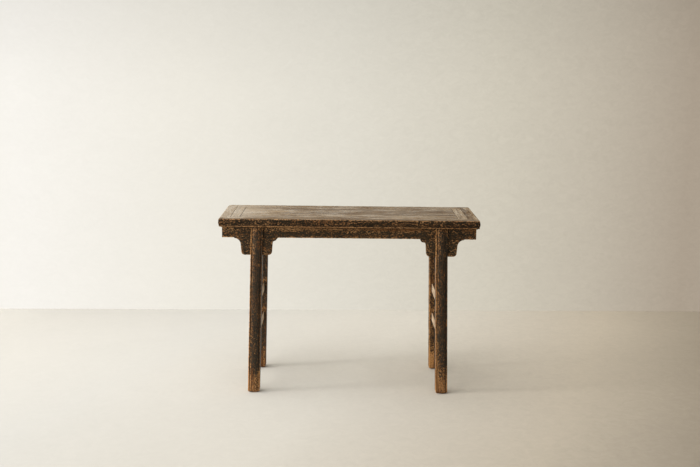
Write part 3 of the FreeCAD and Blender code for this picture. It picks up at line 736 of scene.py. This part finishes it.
# Mitred frame round the top: a rounded band with a step and a bead below it.
frameSizes = {
    "longWidth": 62,
    "endWidth": 50,
    "innerRadius": 0.9,
    "topEdge": (2.7, 0),        # inset and drop, as in the corners below
    "topRadius": 3.5,
    "arris": (3, 2),            # where the band's curve starts
    "bulge": (0, 19),
    "band": (2, 29),
    "bandRadius": 0.7,
    "quirk": (4, 29),
    "beadCentreDrop": 33,
    "beadFoot": (8.5, 38.5),
    "underside": (12, 41),
    "undersideRadii": (0.5, 0.8),
    "mitreGap": 0.2,
    "ease": 0.6,
    "endRub": 0.5,
    "spacing": 5.0,
    "cornerWear": {(-1, -1): 3, (1, -1): 5, (-1, 1): 30, (1, 1): 12},   # by (end, side)
    "wearAndPaintedLight": {                   # rub and nook
        "inner": (0.35, 0.40), "topEdge": (0.75, 0), "curve": (0.12, 0), "bulge": (0.14, 0),
        "band": (0.40, 0.2), "quirk": (0.05, 1.0), "beadFoot": (0.9, 0.1),
        "underside": (0.25, 0.5), "inside": (0.1, 0.4),
    },
    # The bead's top, under the band, holds painted shade as nook, as the quirk does.
    "beadWear": ((0.15, 0.8), (0.6, 0.3), (1.0, 0.05), (1.15, 0), (1.15, 0)),
    "arcSteps": (4, 3, 6),      # above and below the bulge, and round the bead
}
rails = {                       # which way it runs, at which side, and the seed of its grain
    "front_long_rail": (alongX, -1, 1),
    "back_long_rail": (alongX, 1, 2),
    "left_end_rail": (alongY, -1, 3),
    "right_end_rail": (alongY, 1, 34),
}


# The four corners of the top are worn round, the back left one most.
def wornCorner(x, y, z):
    end, side = math.copysign(1, x), math.copysign(1, y)
    radius = frameSizes["cornerWear"][end, side]
    reach = Vector((abs(x) - halfLength + radius, abs(y) - halfDepth + radius))
    if min(reach) <= 0:
        return x, y, z
    reach *= max(reach) / reach.length
    return end * (halfLength - radius + reach.x), side * (halfDepth - radius + reach.y), z


def frameOutline(width):
    size = frameSizes
    wearAndPaintedLight = size["wearAndPaintedLight"]
    arris, bulge, band = size["arris"], size["bulge"], size["band"]
    lowRadius, innerRadius = size["undersideRadii"]
    upperSteps, lowerSteps, beadSteps = size["arcSteps"]
    corners = [(width, 0, size["innerRadius"], *wearAndPaintedLight["inner"]),
               (*size["topEdge"], size["topRadius"], *wearAndPaintedLight["topEdge"])]
    corners += [(*point, 0, *wearAndPaintedLight["curve"]) for point in arcPoints(arris, bulge, bulge[1], upperSteps)]
    corners += [(*bulge, 0, *wearAndPaintedLight["bulge"])]
    corners += [(*point, 0, *wearAndPaintedLight["curve"]) for point in arcPoints(bulge, band, bulge[1], lowerSteps)]
    corners += [(*band, size["bandRadius"], *wearAndPaintedLight["band"]), (*size["quirk"], 0, *wearAndPaintedLight["quirk"])]
    bead = arcPoints(size["quirk"], size["beadFoot"], size["beadCentreDrop"], beadSteps)
    corners += [(*point, 0, *wornAndPaintedLight) for point, wornAndPaintedLight in zip(bead, size["beadWear"])]
    corners += [(*size["beadFoot"], 0, *wearAndPaintedLight["beadFoot"]),
                (*size["underside"], lowRadius, *wearAndPaintedLight["underside"]),
                (width, size["underside"][1], innerRadius, *wearAndPaintedLight["inside"])]
    return traceOutline(corners, size["spacing"])


# The left end of the top is painted paler and greyer: painted light from the window. Dark lacquer
# is left along its back edge and, towards both ends, along its front edge.
topPaintedLightAndLacquer = {
    # The left end's paleness is painted light.
    "paintedLightLeftEnd": (-240, -640),    # places where an effect starts and where it is full
    "frontEnds": ((-260, -480), (-60, 160)),
    "frontEdge": (40, 10),      # the same, as distances from the edge
    "backEdge": (30, 12),
    "frontMiddle": 0.15,        # share of the front edge's lacquer left between its ends
    "frontDark": 0.7,
    "backDark": 0.9,
}


def paintTopLightAndLacquer(place):
    size = topPaintedLightAndLacquer
    middle = size["frontMiddle"]
    ends = middle + (1 - middle) * sum(fade(place.x, *marks) for marks in size["frontEnds"])
    front = ends * fade(-place.y, *(halfDepth - inset for inset in size["frontEdge"]))
    back = fade(place.y, *(halfDepth - inset for inset in size["backEdge"]))
    bleachedAndPaintedLight = fade(place.x, *size["paintedLightLeftEnd"]) * (1 - front)
    return bleachedAndPaintedLight - size["frontDark"] * front - size["backDark"] * back


def makeRail(name, along, way, seed):
    size = frameSizes
    halves = (halfLength, halfDepth)
    flat = mitred(halves, along, way, size["mitreGap"], size["endWidth"])

    def place(point, share):
        return wornCorner(*flat(point, share), topHeight - point.y)

    outline = frameOutline(size["longWidth"] if along == alongX else size["endWidth"])
    makeSwept(name, size, outline, place, halves[along], along, seed, "frameLacquer", upper=paintTopLightAndLacquer)


for name, settings in rails.items():
    makeRail(name, *settings)
print("frame rails made")

# Boards of the top: three lengthwise, and one across at each end.
boardSizes = {
    "thickness": 16,
    "crossThickness": 20,
    "seam": 0.6,
    "topEdge": 1.3,             # worn edge along each seam
    "lowEdge": 0.8,
    "topWear": (0.30, 0.45),    # rub and nook
    "lowWear": (0.1, 0.4),
    "wearReach": 3.5,
    "edgeSteps": 2,
    "ease": 1.2,
    "endRub": 0.25,
    "frontSeam": -58,
    "backSeam": 18,
    "stain": (0.05, 0.32, 0.22),    # how much darker each panel board is, but for its left end
    "stainPlaces": (-420, -60),     # where along the table that starts and where it is full
    "rightPaleness": 0.24,
    "spacing": 4.5,
    "sideSpacing": 4.0,
    "panelSeed": 5,
    "crossSeed": 8,
}


def makePanelBoards():
    size = boardSizes
    railInner = halfDepth - frameSizes["longWidth"]
    gap = size["seam"] / 2
    reach = boxOf("right_cross_board")[0].x - size["seam"]
    low = topHeight - size["thickness"]
    seams = (-railInner - gap, size["frontSeam"], size["backSeam"], railInner + gap)
    for number, name in enumerate(("front_panel_board", "middle_panel_board", "back_panel_board")):
        def upper(spot, stain=size["stain"][number]):
            return paintTopLightAndLacquer(spot) - stain * fade(spot.x, *size["stainPlaces"])

        outline = boxOutline(seams[number] + gap, seams[number + 1] - gap, low, topHeight, size)
        makeSwept(name, size, outline, straight(alongX, reach), reach, alongX,
                  size["panelSeed"] + number, "rubbedTop", upper=upper)


# The cross board at the right has kept one even tone.
def makeCrossBoards():
    size = boardSizes
    reach = halfDepth - frameSizes["longWidth"] - size["seam"]
    outer = halfLength - frameSizes["endWidth"] - size["seam"]
    low = topHeight - size["crossThickness"]
    outline = boxOutline(boxOf("right_cross_board")[0].x, outer, low, topHeight, size)
    for number, (name, end, upper) in enumerate((
            ("left_cross_board", -1, paintTopLightAndLacquer),
            ("right_cross_board", 1, lambda spot: size["rightPaleness"]))):
        makeSwept(name, size, outline, straight(alongY, reach, end), reach, alongY,
                  size["crossSeed"] + number, "rubbedTop", upper=upper)


makePanelBoards()
makeCrossBoards()

# Battens under the boards.
battenSizes = {
    "width": 36,
    "depth": 22,
    "topEdge": 0,
    "lowEdge": 1.8,
    "endGap": 0.2,
    "ease": 0.5,
    "topWear": (0, 0.5),        # rub and nook
    "lowWear": (0.3, 0),
    "wearReach": 4,
    "edgeSteps": 3,
    "endRub": 0.1,
    "wearShare": 0.8,           # how deep they are worn beside the other pieces
    "spacing": 9.0,
    "sideSpacing": 9.0,
    "firstSeed": 10,
}


def makeBatten(name, seed):
    size = battenSizes
    high = topHeight - boardSizes["thickness"]
    reach = halfDepth - frameSizes["longWidth"] - size["endGap"]
    middle = sum(corner.x for corner in boxOf(name)) / 2
    half = size["width"] / 2
    outline = boxOutline(middle - half, middle + half, high - size["depth"], high, size)
    makeSwept(name, size, outline, straight(alongY, reach), reach, alongY, seed, "bareWood",
              depthShare=size["wearShare"])


for number, name in enumerate(("left_batten", "middle_batten", "right_batten")):
    makeBatten(name, battenSizes["firstSeed"] + number)
print("boards and battens made")

# Apron strips under the frame, mitred at the ends of the table.
apronSizes = {
    "thickness": 16,
    "lowEdge": 1.1,
    "backEdge": 0.9,
    "ease": 0.5,
    "face": ((28, 0.05, 0), (19, 0.45, 0), (10, 0.85, 0), (0, 1.0, 0.05)),  # drop, rub and nook
    "lowRub": 0.85,
    "backWear": ((0.1, 0.5), (0.45, 0)),    # rub and nook above and below
    "endRub": 0.5,
    "wearReach": 4.5,
    "edgeSteps": 3,
    "coveredShare": 0.55,       # how much of its rub the strip has over a spandrel
    "coveredEdge": (6, 0.05),   # height of its covered lower edge, and the rub there
    "wingGap": 1,               # how far past a spandrel that reaches
    "mitreGap": 0.15,
    "spacing": 5.0,
    "sideSpacing": 4.0,
}
aprons = {                      # as for the rails
    "front_apron": (alongX, -1, 13),
    "back_apron": (alongX, 1, 14),
    "left_end_apron": (alongY, -1, 15),
    "right_end_apron": (alongY, 1, 16),
}


def makeApron(name, along, way, seed):
    size = apronSizes
    low, high = boxOf("front_apron")
    halves = (high.x, -low.y)
    top = topHeight - frameSizes["underside"][1]
    upperWear, lowerWear = size["backWear"]
    corners = [(0, top - drop, 0, *wornAndPaintedLight) for drop, *wornAndPaintedLight in size["face"]]
    corners += [(size["thickness"], top, 0, *upperWear),
                (size["thickness"], low.z, size["backEdge"], *lowerWear),
                (0, low.z, size["lowEdge"], size["lowRub"], 0)]
    outline = traceOutline(corners, size["sideSpacing"], size["wearReach"], size["edgeSteps"])
    wings = [boxOf(f"front_{end}_spandrel") for end in ("left", "right")]
    gap = size["wingGap"]

    # The strip is rubbed less where a spandrel stands under it, and not at its lower edge.
    def quiet(place, rub):
        if not any(wing[0].x - gap < place.x < wing[1].x + gap for wing in wings):
            return rub
        edge, edgeRub = size["coveredEdge"]
        return edgeRub if place.z < low.z + edge else rub * size["coveredShare"]

    flat = mitred(halves, along, way, size["mitreGap"])

    def place(point, share):
        return *flat(point, share), point.y

    makeSwept(name, size, outline, place, halves[along], along, seed, "wornLacquer",
              quiet=quiet if along == alongX else None)


for name, settings in aprons.items():
    makeApron(name, *settings)

# Shaped spandrels: the solid is remeshed finely, then rubbed round all its edges.
spandrelSizes = {
    "weld": 1e-5,               # metres between corners that are one
    "voxel": 2.2,
    "smoothing": (2, 0.5),      # rounds and strength
    "edgeAngle": 40,
    "sampleStep": 2.0,
    "rub": (0.03, 0.9),         # everywhere, and at the edges
    "rubReach": 3.0,
    "nook": 0.05,
    "cut": 0.05,                # how far under the apron the head is cut from its tongue
    "calm": (0.5, 7),           # depths under the apron where the rub starts and is full
    "firstSeed": 17,
}


# Points along the sharp outer edges of a solid, for finding how near an edge a place is.
def edgePoints(solid):
    sharp = math.radians(spandrelSizes["edgeAngle"])
    points = []
    for edge in solid.edges:
        if len(edge.link_faces) != 2 or edge.calc_face_angle_signed(0) < sharp:
            continue
        start, end = (vertex.co for vertex in edge.verts)
        steps = max(1, round((end - start).length / spandrelSizes["sampleStep"]))
        points += [start.lerp(end, step / steps) for step in range(steps + 1)]
    tree = kdtree.KDTree(len(points))
    for number, point in enumerate(points):
        tree.insert(point, number)
    tree.balance()
    return tree


# A smooth fine mesh of a solid, through Blender's own modifiers.
def refine(name, solid):
    size = spandrelSizes
    rough = bpy.data.meshes.new(name + "_rough")
    solid.to_mesh(rough)
    carrier = bpy.data.objects.new(name + "_rough", rough)
    scene.collection.objects.link(carrier)
    remesh = carrier.modifiers.new("remesh", "REMESH")
    remesh.mode = "VOXEL"
    remesh.voxel_size = size["voxel"]
    smooth = carrier.modifiers.new("smooth", "SMOOTH")
    smooth.iterations, smooth.factor = size["smoothing"]
    ready = carrier.evaluated_get(bpy.context.evaluated_depsgraph_get())
    fine = bpy.data.meshes.new_from_object(ready)
    bpy.data.objects.remove(carrier)
    return fine


def makeSpandrel(name, seed):
    size = spandrelSizes
    apronLow = boxOf("front_apron")[0].z
    solid = bmesh.new()
    solid.from_mesh(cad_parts[name].data)
    bmesh.ops.remove_doubles(solid, verts=solid.verts, dist=size["weld"])
    bmesh.ops.scale(solid, vec=(1 / millimetre,) * 3, verts=solid.verts)
    # The tongue stays hidden in the apron, so the head alone is kept.
    bmesh.ops.bisect_plane(solid, geom=solid.verts[:] + solid.edges[:] + solid.faces[:],
                           plane_co=(0, 0, apronLow - size["cut"]), plane_no=(0, 0, 1), clear_outer=True)
    bmesh.ops.holes_fill(solid, edges=[edge for edge in solid.edges if edge.is_boundary])
    bmesh.ops.recalc_face_normals(solid, faces=solid.faces)
    edges = edgePoints(solid)
    fine = refine(name, solid)
    solid.free()
    shape = Shape()
    plainRub, edgeRub = size["rub"]
    for vertex in fine.vertices:
        away = edges.find(vertex.co)[2]
        shape.add(vertex.co.copy(), plainRub + edgeRub * math.exp(-away / size["rubReach"]), size["nook"])
    shape.faces = [tuple(face.vertices) for face in fine.polygons]

    def quiet(place, rub):
        return rub * fade(place.z, *(apronLow - depth for depth in size["calm"]))

    makePiece(name, shape, alongX, seed, "wornLacquer", quiet)


for number, (quarter, _, _) in enumerate(quarters):
    makeSpandrel(quarter + "_spandrel", spandrelSizes["firstSeed"] + number)
print("aprons and spandrels made")

# Splayed legs with a bead down both outer corners and a rounded face between them.
legSizes = {
    "width": 56,
    "depth": 52,
    "splayLength": 18.5,        # run-out along the table, shoulder to floor
    "splayDepth": 19.3,         # run-out across the table
    "footSetback": 1,
    "slotPlay": 0.15,
    "beadWidth": 6.6,
    "beadSetback": 5.6,
    "beadDrop": 1.6,            # from the setback to where the bead's curve starts
    "beadCrown": 0.8,
    "quirkWidth": 2.6,
    "quirkSetback": 8,
    "quirkLip": (0.2, 0.4),     # inset from the bead, and rise from the groove's floor
    "quirkFoot": (0.7, 0.5),    # insets of that floor from the bead and from the face
    "faceRise": 4,
    "shoulderEase": 2.4,        # rounding of the face beside each groove
    "cornerEase": 4,
    "footEase": 12,
    "footWear": (150, 25),      # heights where bare wood starts and where it is full
    "headWear": (45, 0.5),      # height of the rubbed head, and how much more it is rubbed
    "sideRubAndPaintedLight": (1.9, 0.5),      # how many times as much left and right edges are rubbed: painted light, paler on the left
    "jointWear": (0.8, 9, 13),  # bare wood above each stretcher: how much, how high, how far
    "jointShares": (0.6, 0.95), # where across the leg's depth it starts and where it is full
    "spacing": 4.0,
    "firstSeed": 21,
    "rub": {
        "side": (0.38, 0.83), "crest": (0.85, 0.40), "shoulder": 0.38, "face": (0.06, 0.20),
        "lip": 0.1, "corner": 0.7, "wall": 0.12, "inner": 0.22,
    },
    # Nooks hold grime and painted shade, most in the grooves.
    "nook": {"side": 0.03, "crest": 0.3, "lip": 0.9, "quirk": 1.0, "wall": 0.05},
    "crestMarks": (100, 130),   # degrees round the bead where its inner rub, and its dirt with painted shade, start
    "edgePower": 8,             # how close to the face's edges its rub keeps
    "angles": {                 # degrees at which the roundings are drawn
        "crest": (18, 45, 72, 90, 108, 135, 162), "shoulder": (88, 66, 44, 22),
        "corner": (0, 22, 45, 68, 90), "foot": (0, 25, 50, 72, 90),
    },
    "steps": {"side": 3, "face": 10, "wall": 4, "inner": 12},
}
legTop = topHeight - frameSizes["underside"][1]


# How far out the leg's outer face stands at a height.
def legFace(height):
    return halfDepth - legSizes["footSetback"] - legSizes["splayDepth"] * height / legTop


def mirrored(points):
    return [(-across, *rest) for across, *rest in reversed(points)]


# Bead on the leg's right outer corner, from the slot's side round to the groove.
def beadOutline(slot):
    size = legSizes
    rub, nook = size["rub"], size["nook"]
    half = size["width"] / 2
    inner = half - size["beadWidth"]
    foot = size["beadSetback"] + size["beadDrop"]
    rise = size["beadDrop"] + size["beadCrown"]
    steps = size["steps"]["side"]
    side = [(half, between(slot, foot, step / steps), between(*rub["side"], step / steps), nook["side"])
            for step in range(steps + 1)]
    outerRub, innerRub = rub["crest"]
    innerStart, dirtAndShadeStart = size["crestMarks"]
    crest = [(between(half, inner, (1 - cosine) / 2), foot - rise * sine,
              outerRub if angle < innerStart else innerRub, 0.0 if angle < dirtAndShadeStart else nook["crest"])
             for angle, sine, cosine in turns(size["angles"]["crest"])]
    lipInset, lipRise = size["quirkLip"]
    footStart, footEnd = size["quirkFoot"]
    quirk = size["quirkSetback"]
    groove = [(inner - lipInset, quirk - lipRise, rub["lip"], nook["lip"]),
              (inner - footStart, quirk, 0.0, nook["quirk"]),
              (inner - size["quirkWidth"] + footEnd, quirk, 0.0, nook["quirk"])]
    return side + crest + groove


# Crowned face between the two grooves, eased at its edges.
def faceOutline():
    size = legSizes
    half = size["width"] / 2 - size["beadWidth"] - size["quirkWidth"]
    radius = (half**2 + size["faceRise"]**2) / (2 * size["faceRise"])
    ease = size["shoulderEase"]
    flat = half - ease
    plainRub, edgeRub = size["rub"]["face"]

    def sinkAt(across):
        return radius - math.sqrt(radius**2 - across**2)

    shoulder = [(flat + ease * sine, sinkAt(flat) + ease * (1 - cosine), size["rub"]["shoulder"], 0.0)
                for _, sine, cosine in turns(size["angles"]["shoulder"])]
    crown = []
    steps = size["steps"]["face"]
    for step in range(steps + 1):
        across = between(flat, -flat, step / steps)
        wornAndPaintedLight = plainRub + edgeRub * (abs(across) / flat)**size["edgePower"]
        crown.append((across, sinkAt(across), wornAndPaintedLight, 0.0))
    return shoulder + crown + mirrored(shoulder)


# Front and back parts of the leg's outline, parted by the slot. Points are (across, setback
# from the outer face, rub, nook), and together they run once round the leg.
def legOutline(slotOuter, slotInner):
    size = legSizes
    rub, dirtAndShade = size["rub"], size["nook"]["wall"]
    half, depth, ease = size["width"] / 2, size["depth"], size["cornerEase"]
    right = beadOutline(slotOuter)
    steps = size["steps"]["wall"]
    wall = [(-half, between(slotInner, depth - ease, step / steps), rub["wall"], dirtAndShade)
            for step in range(steps)]
    corner = [(-(half - ease + ease * cosine), depth - ease + ease * sine, rub["corner"], 0.0)
              for _, sine, cosine in turns(size["angles"]["corner"])]
    steps = size["steps"]["inner"]
    inner = [(between(ease - half, half - ease, step / steps), depth, rub["inner"], dirtAndShade)
             for step in range(1, steps)]
    left = wall + corner
    return right + faceOutline() + mirrored(right), left + inner + mirrored(left)


def makeLeg(name, end, side, seed):
    size = legSizes
    slotBottom = boxOf("front_left_spandrel")[0].z
    slotOuter = size["slotPlay"] - boxOf("front_apron")[0].y
    slotInner = slotOuter - apronSizes["thickness"] - 2 * size["slotPlay"]
    centre = boxOf("front_right_leg")[1].x - size["width"] / 2
    stretchers = [boxOf(f"left_{level}_stretcher")[1].z for level in ("upper", "lower")]
    shape = Shape()

    # Rings of the front and the back part at a height, drawn in by the inset.
    def ringsAt(height, inset=0.0):
        cut = min(max(height, slotBottom), legTop)
        headHeight, headRub = size["headWear"]
        head = headRub * fade(height, legTop - headHeight, legTop)
        most, above, spread = size["jointWear"]
        joint = max(most * math.exp(-((height - low - above) / spread)**2) for low in stretchers)
        middle = size["depth"] / 2
        rings = []
        for part in legOutline(legFace(cut) - slotOuter, legFace(cut) - slotInner):
            ring = []
            for across, setback, rub, nook in part:
                x = across * (1 - 2 * inset / size["width"])
                y = middle + (setback - middle) * (1 - 2 * inset / size["depth"])
                place = Vector((end * (centre - size["splayLength"] * height / legTop + x),
                                side * (legFace(height) - y), height))
                # Edges on the left, towards the window, are rubbed more: painted light, paler wood there.
                wornAndPaintedLight = min(1, rub * size["sideRubAndPaintedLight"][across * end >= 0] + head)
                inner = fade(setback, *(size["depth"] * share for share in size["jointShares"]))
                bare = max(fade(height, *size["footWear"]), joint * inner)
                ring.append(shape.add(place, wornAndPaintedLight, nook, bare))
            rings.append(ring)
        return rings

    ease = size["footEase"]
    heights = [(ease * (1 - cosine), ease * (1 - sine))
               for _, sine, cosine in turns(size["angles"]["foot"])]
    steps = round((slotBottom - ease) / size["spacing"])
    heights += [(between(ease, slotBottom, step / steps), 0.0) for step in range(1, steps + 1)]
    whole = [ringsAt(*station) for station in heights]
    for (front, back), (nextFront, nextBack) in zip(whole, whole[1:]):
        shape.bridge(front + back, nextFront + nextBack)
    front, back = whole[-1]
    shape.faces += [tuple(whole[0][0] + whole[0][1]), (front[-1], back[0], back[-1], front[0])]
    steps = round((legTop - slotBottom) / size["spacing"])
    forked = whole[-1:] + [ringsAt(between(slotBottom, legTop, step / steps))
                           for step in range(1, steps + 1)]
    for prong in zip(*forked):
        for ring, nextRing in zip(prong, prong[1:]):
            shape.bridge(ring, nextRing)
        shape.faces.append(tuple(prong[-1]))
    makePiece(name, shape, alongZ, seed, "legLacquer")


for number, (quarter, end, side) in enumerate(quarters):
    makeLeg(quarter + "_leg", end, side, legSizes["firstSeed"] + number)
print("legs made")

# Paired stretchers between the legs of each end.
stretcherSizes = {
    "topEdge": 3,
    "lowEdge": 3,
    "topWear": (0.6, 0),        # rub and nook
    "lowWear": (0.35, 0),
    "wearReach": 6,
    "edgeSteps": 4,
    "ease": 0.3,
    "endRub": 0,
    "spacing": 4.5,
    "sideSpacing": 4.0,
    "firstSeed": 25,
}


def makeStretcher(name, seed):
    size = stretcherSizes
    low, high = boxOf(name)
    outline = boxOutline(low.x, high.x, low.z, high.z, size)

    def place(point, share):
        return point.x, share * (legFace(point.y) - legSizes["depth"]), point.y

    reach = legFace(high.z) - legSizes["depth"]
    makeSwept(name, size, outline, place, reach, alongY, seed, "stretcherWood")


for number, name in enumerate(f"{end}_{level}_stretcher" for end in ("left", "right")
                              for level in ("upper", "lower")):
    makeStretcher(name, stretcherSizes["firstSeed"] + number)
print("stretchers made")

# The camera stands in front of the table, a little above its top.
cameraSetup = {
    "place": (-0.036, -4.5646, 1.5638),
    "turn": 0.512,              # degrees to the right
    "dip": 10.372,              # degrees down
    "roll": 0.663,              # degrees
    "lens": 49.78,
    "sensor": 36.0,
    "farthest": 60,             # metres that it sees
}


def makeCamera(setup):
    turn, dip, roll = (math.radians(setup[key]) for key in ("turn", "dip", "roll"))
    ahead = Vector((math.sin(turn) * math.cos(dip), math.cos(turn) * math.cos(dip), -math.sin(dip)))
    level = Vector((math.cos(turn), -math.sin(turn), 0))
    upward = level.cross(ahead)
    right = math.cos(roll) * level + math.sin(roll) * upward
    top = -math.sin(roll) * level + math.cos(roll) * upward
    data = bpy.data.cameras.new("viewCamera")
    data.lens = setup["lens"]
    data.sensor_width = setup["sensor"]
    data.clip_end = setup["farthest"]
    camera = bpy.data.objects.new("viewCamera", data)
    scene.collection.objects.link(camera)
    axes = Matrix((right, top, -ahead)).transposed().to_4x4()
    camera.matrix_world = Matrix.Translation(setup["place"]) @ axes
    scene.camera = camera


makeCamera(cameraSetup)

# Pale floor and wall, with painted light in their colours: brighter towards the window on the
# left and darker to the right. Sizes are in metres, and each colour has its place along the room.
room = {
    "wallPlace": 1.316,         # wall's distance behind the table's centre
    "wallTurn": 1.17,           # degrees
    "floorSize": 30.0,
    "wallHeight": 9.0,
    # Wall colours with painted light: brighter towards the window on the left, darker to the right.
    "wallColoursAndPaintedLight": ((-2.0, (0.95, 0.92, 0.86)), (-1.0, (0.865, 0.83, 0.745)),
                    (0.0, (0.75, 0.715, 0.625)), (0.9, (0.635, 0.59, 0.49)),
                    (1.5, (0.535, 0.48, 0.39)), (2.1, (0.41, 0.345, 0.27))),
    "wallShade": (1.2, 2.3, 1.0, 0.83),     # two heights, and how bright its painted shade leaves it at each
    "plaster": (0.8, 0.77, 0.70),
    # Floor colours with painted light: brighter towards the window on the left, darker to the right.
    "floorColoursAndPaintedLight": ((-2.2, (0.465, 0.458, 0.438)), (-1.1, (0.54, 0.535, 0.512)),
                     (0.0, (0.650, 0.628, 0.574)), (1.13, (0.595, 0.534, 0.440)),
                     (2.2, (0.32, 0.268, 0.205))),
    "floorShade": (1.3, -2.2, 1.0, 0.71),   # the same painted shade at two depths, back and front
    "floorSlant": -0.38,        # how far the colours and their painted light move over with the depth
    "mottling": ((2.2, 2.2, 3.4), 5.0, 0.62, 0.8),
    "mottlingAmount": 0.05,
    "trowelMarks": ((20, 20, 30), 4.0, 0.7, 1.2),
    "trowelAmount": (-1.0, 1.2, 0.076, 0.19),       # two places, and how strong it is at each
}


# Colour with painted light that changes along the room from one (place, colour) to the next,
# with painted shade across it, and faint clouds and marks.
def colourAlong(tree, stops, axis, shade, slant=0.0):
    place = addNode(tree, "TexCoord").outputs["Object"]
    parts = split(tree, place)
    along = addUp(tree, parts["X"], (parts[axis], slant))
    colour = stops[0][1]
    for (start, _), (end, nextColour) in zip(stops, stops[1:]):
        share = addNode(tree, "MapRange", Value=along)
        share.inputs["From Min"].default_value = start
        share.inputs["From Max"].default_value = end
        colour = blend(tree, share.outputs[0], colour, nextColour)
    clouds = noiseOf(tree, place, *room["mottling"])[0]
    marks = noiseOf(tree, place, *room["trowelMarks"])[0]
    level = vary(tree, ramp(tree, parts[axis], *shade), (clouds, room["mottlingAmount"]),
                 (marks, ramp(tree, parts["X"], *room["trowelAmount"])))
    grey = addNode(tree, "CombineXYZ", X=level, Y=level, Z=level).outputs[0]
    return blend(tree, 1.0, colour, grey, "MULTIPLY")


def makeFloorMaterial():
    material, tree = newMaterial("paleFloor")
    colour = colourAlong(tree, room["floorColoursAndPaintedLight"], "Y", room["floorShade"], room["floorSlant"])
    surface = addNode(tree, "BsdfDiffuse", Color=colour)
    addNode(tree, "OutputMaterial", Surface=surface.outputs["BSDF"])
    return material


# The wall glows with its colours and their painted light to the camera and in reflections,
# lights the table as plain plaster, and lets through what is seen or lit from behind it.
def makeWallMaterial():
    material, tree = newMaterial("paleWall")
    colour = colourAlong(tree, room["wallColoursAndPaintedLight"], "Z", room["wallShade"])
    plaster = addNode(tree, "BsdfDiffuse", Color=room["plaster"]).outputs["BSDF"]
    glow = addNode(tree, "Emission", Color=colour, Strength=1.0).outputs["Emission"]
    rays = addNode(tree, "LightPath").outputs
    reflected = calc(tree, "MAXIMUM", rays["Is Glossy Ray"], rays["Is Transmission Ray"])
    front = mixShaders(tree, calc(tree, "MAXIMUM", rays["Is Camera Ray"], reflected), plaster, glow)
    behind = addNode(tree, "NewGeometry").outputs["Backfacing"]
    clear = addNode(tree, "BsdfTransparent").outputs["BSDF"]
    addNode(tree, "OutputMaterial", Surface=mixShaders(tree, behind, front, clear))
    return material


def makePanel(name, corners, material):
    mesh = bpy.data.meshes.new(name)
    mesh.from_pydata(corners, [], [tuple(range(len(corners)))])
    panel = bpy.data.objects.new(name, mesh)
    scene.collection.objects.link(panel)
    mesh.materials.append(material)
    return panel


def makeRoom():
    half = room["floorSize"] / 2
    height = room["wallHeight"]
    makePanel("floor", [(-half, -half, 0), (half, -half, 0), (half, half, 0), (-half, half, 0)],
              makeFloorMaterial())
    wall = makePanel("backdrop", [(-half, 0, 0), (half, 0, 0), (half, 0, height), (-half, 0, height)],
                     makeWallMaterial())
    wall.location = (0, room["wallPlace"], 0)
    wall.rotation_euler = (0, 0, math.radians(room["wallTurn"]))


makeRoom()

# Soft daylight from the left, over a dim sky.
lights = {
    "sky": (1.0, 0.985, 0.96),
    "skyStrength": 0.46,
    "seenSky": (0.74, 0.71, 0.64),      # what the camera sees where the room ends
    "aim": (0.0, 0.0, 0.5),
    "lamps": {                  # place, size, power, colour
        "window": ((-6.8, -1.25, 2.3), (1.2, 2.4), 200.0, (1.0, 0.97, 0.92)),
        "brightSide": ((-3.5, -1.3, 1.5), (6.0, 2.7), 155.0, (1.0, 0.975, 0.94)),
        "ceiling": ((-1.3, -0.8, 3.9), (5.0, 4.5), 112.0, (1.0, 0.98, 0.95)),
    },
}


def makeSky():
    world = bpy.data.worlds.new("softRoom")
    scene.world = world
    world.use_nodes = True
    tree = world.node_tree
    background = tree.nodes["Background"]
    setInput(tree, background.inputs["Color"], lights["sky"])
    background.inputs["Strength"].default_value = lights["skyStrength"]
    seen = addNode(tree, "Background", Color=lights["seenSky"], Strength=1.0)
    rays = addNode(tree, "LightPath")
    mixed = mixShaders(tree, rays.outputs["Is Camera Ray"], background.outputs[0], seen.outputs[0])
    tree.links.new(mixed, tree.nodes["World Output"].inputs["Surface"])


def makeLamp(name, place, size, power, colour):
    data = bpy.data.lights.new(name, "AREA")
    data.shape = "RECTANGLE"
    data.size, data.size_y = size
    data.energy = power
    data.color = colour
    lamp = bpy.data.objects.new(name, data)
    scene.collection.objects.link(lamp)
    lamp.location = place
    aim = Vector(lights["aim"]) - Vector(place)
    lamp.rotation_euler = aim.to_track_quat("-Z", "Y").to_euler()
    lamp.visible_camera = False


makeSky()
for name, settings in lights["lamps"].items():
    makeLamp(name, *settings)
print("camera, room and light made")

scene.view_settings.view_transform = "Standard"
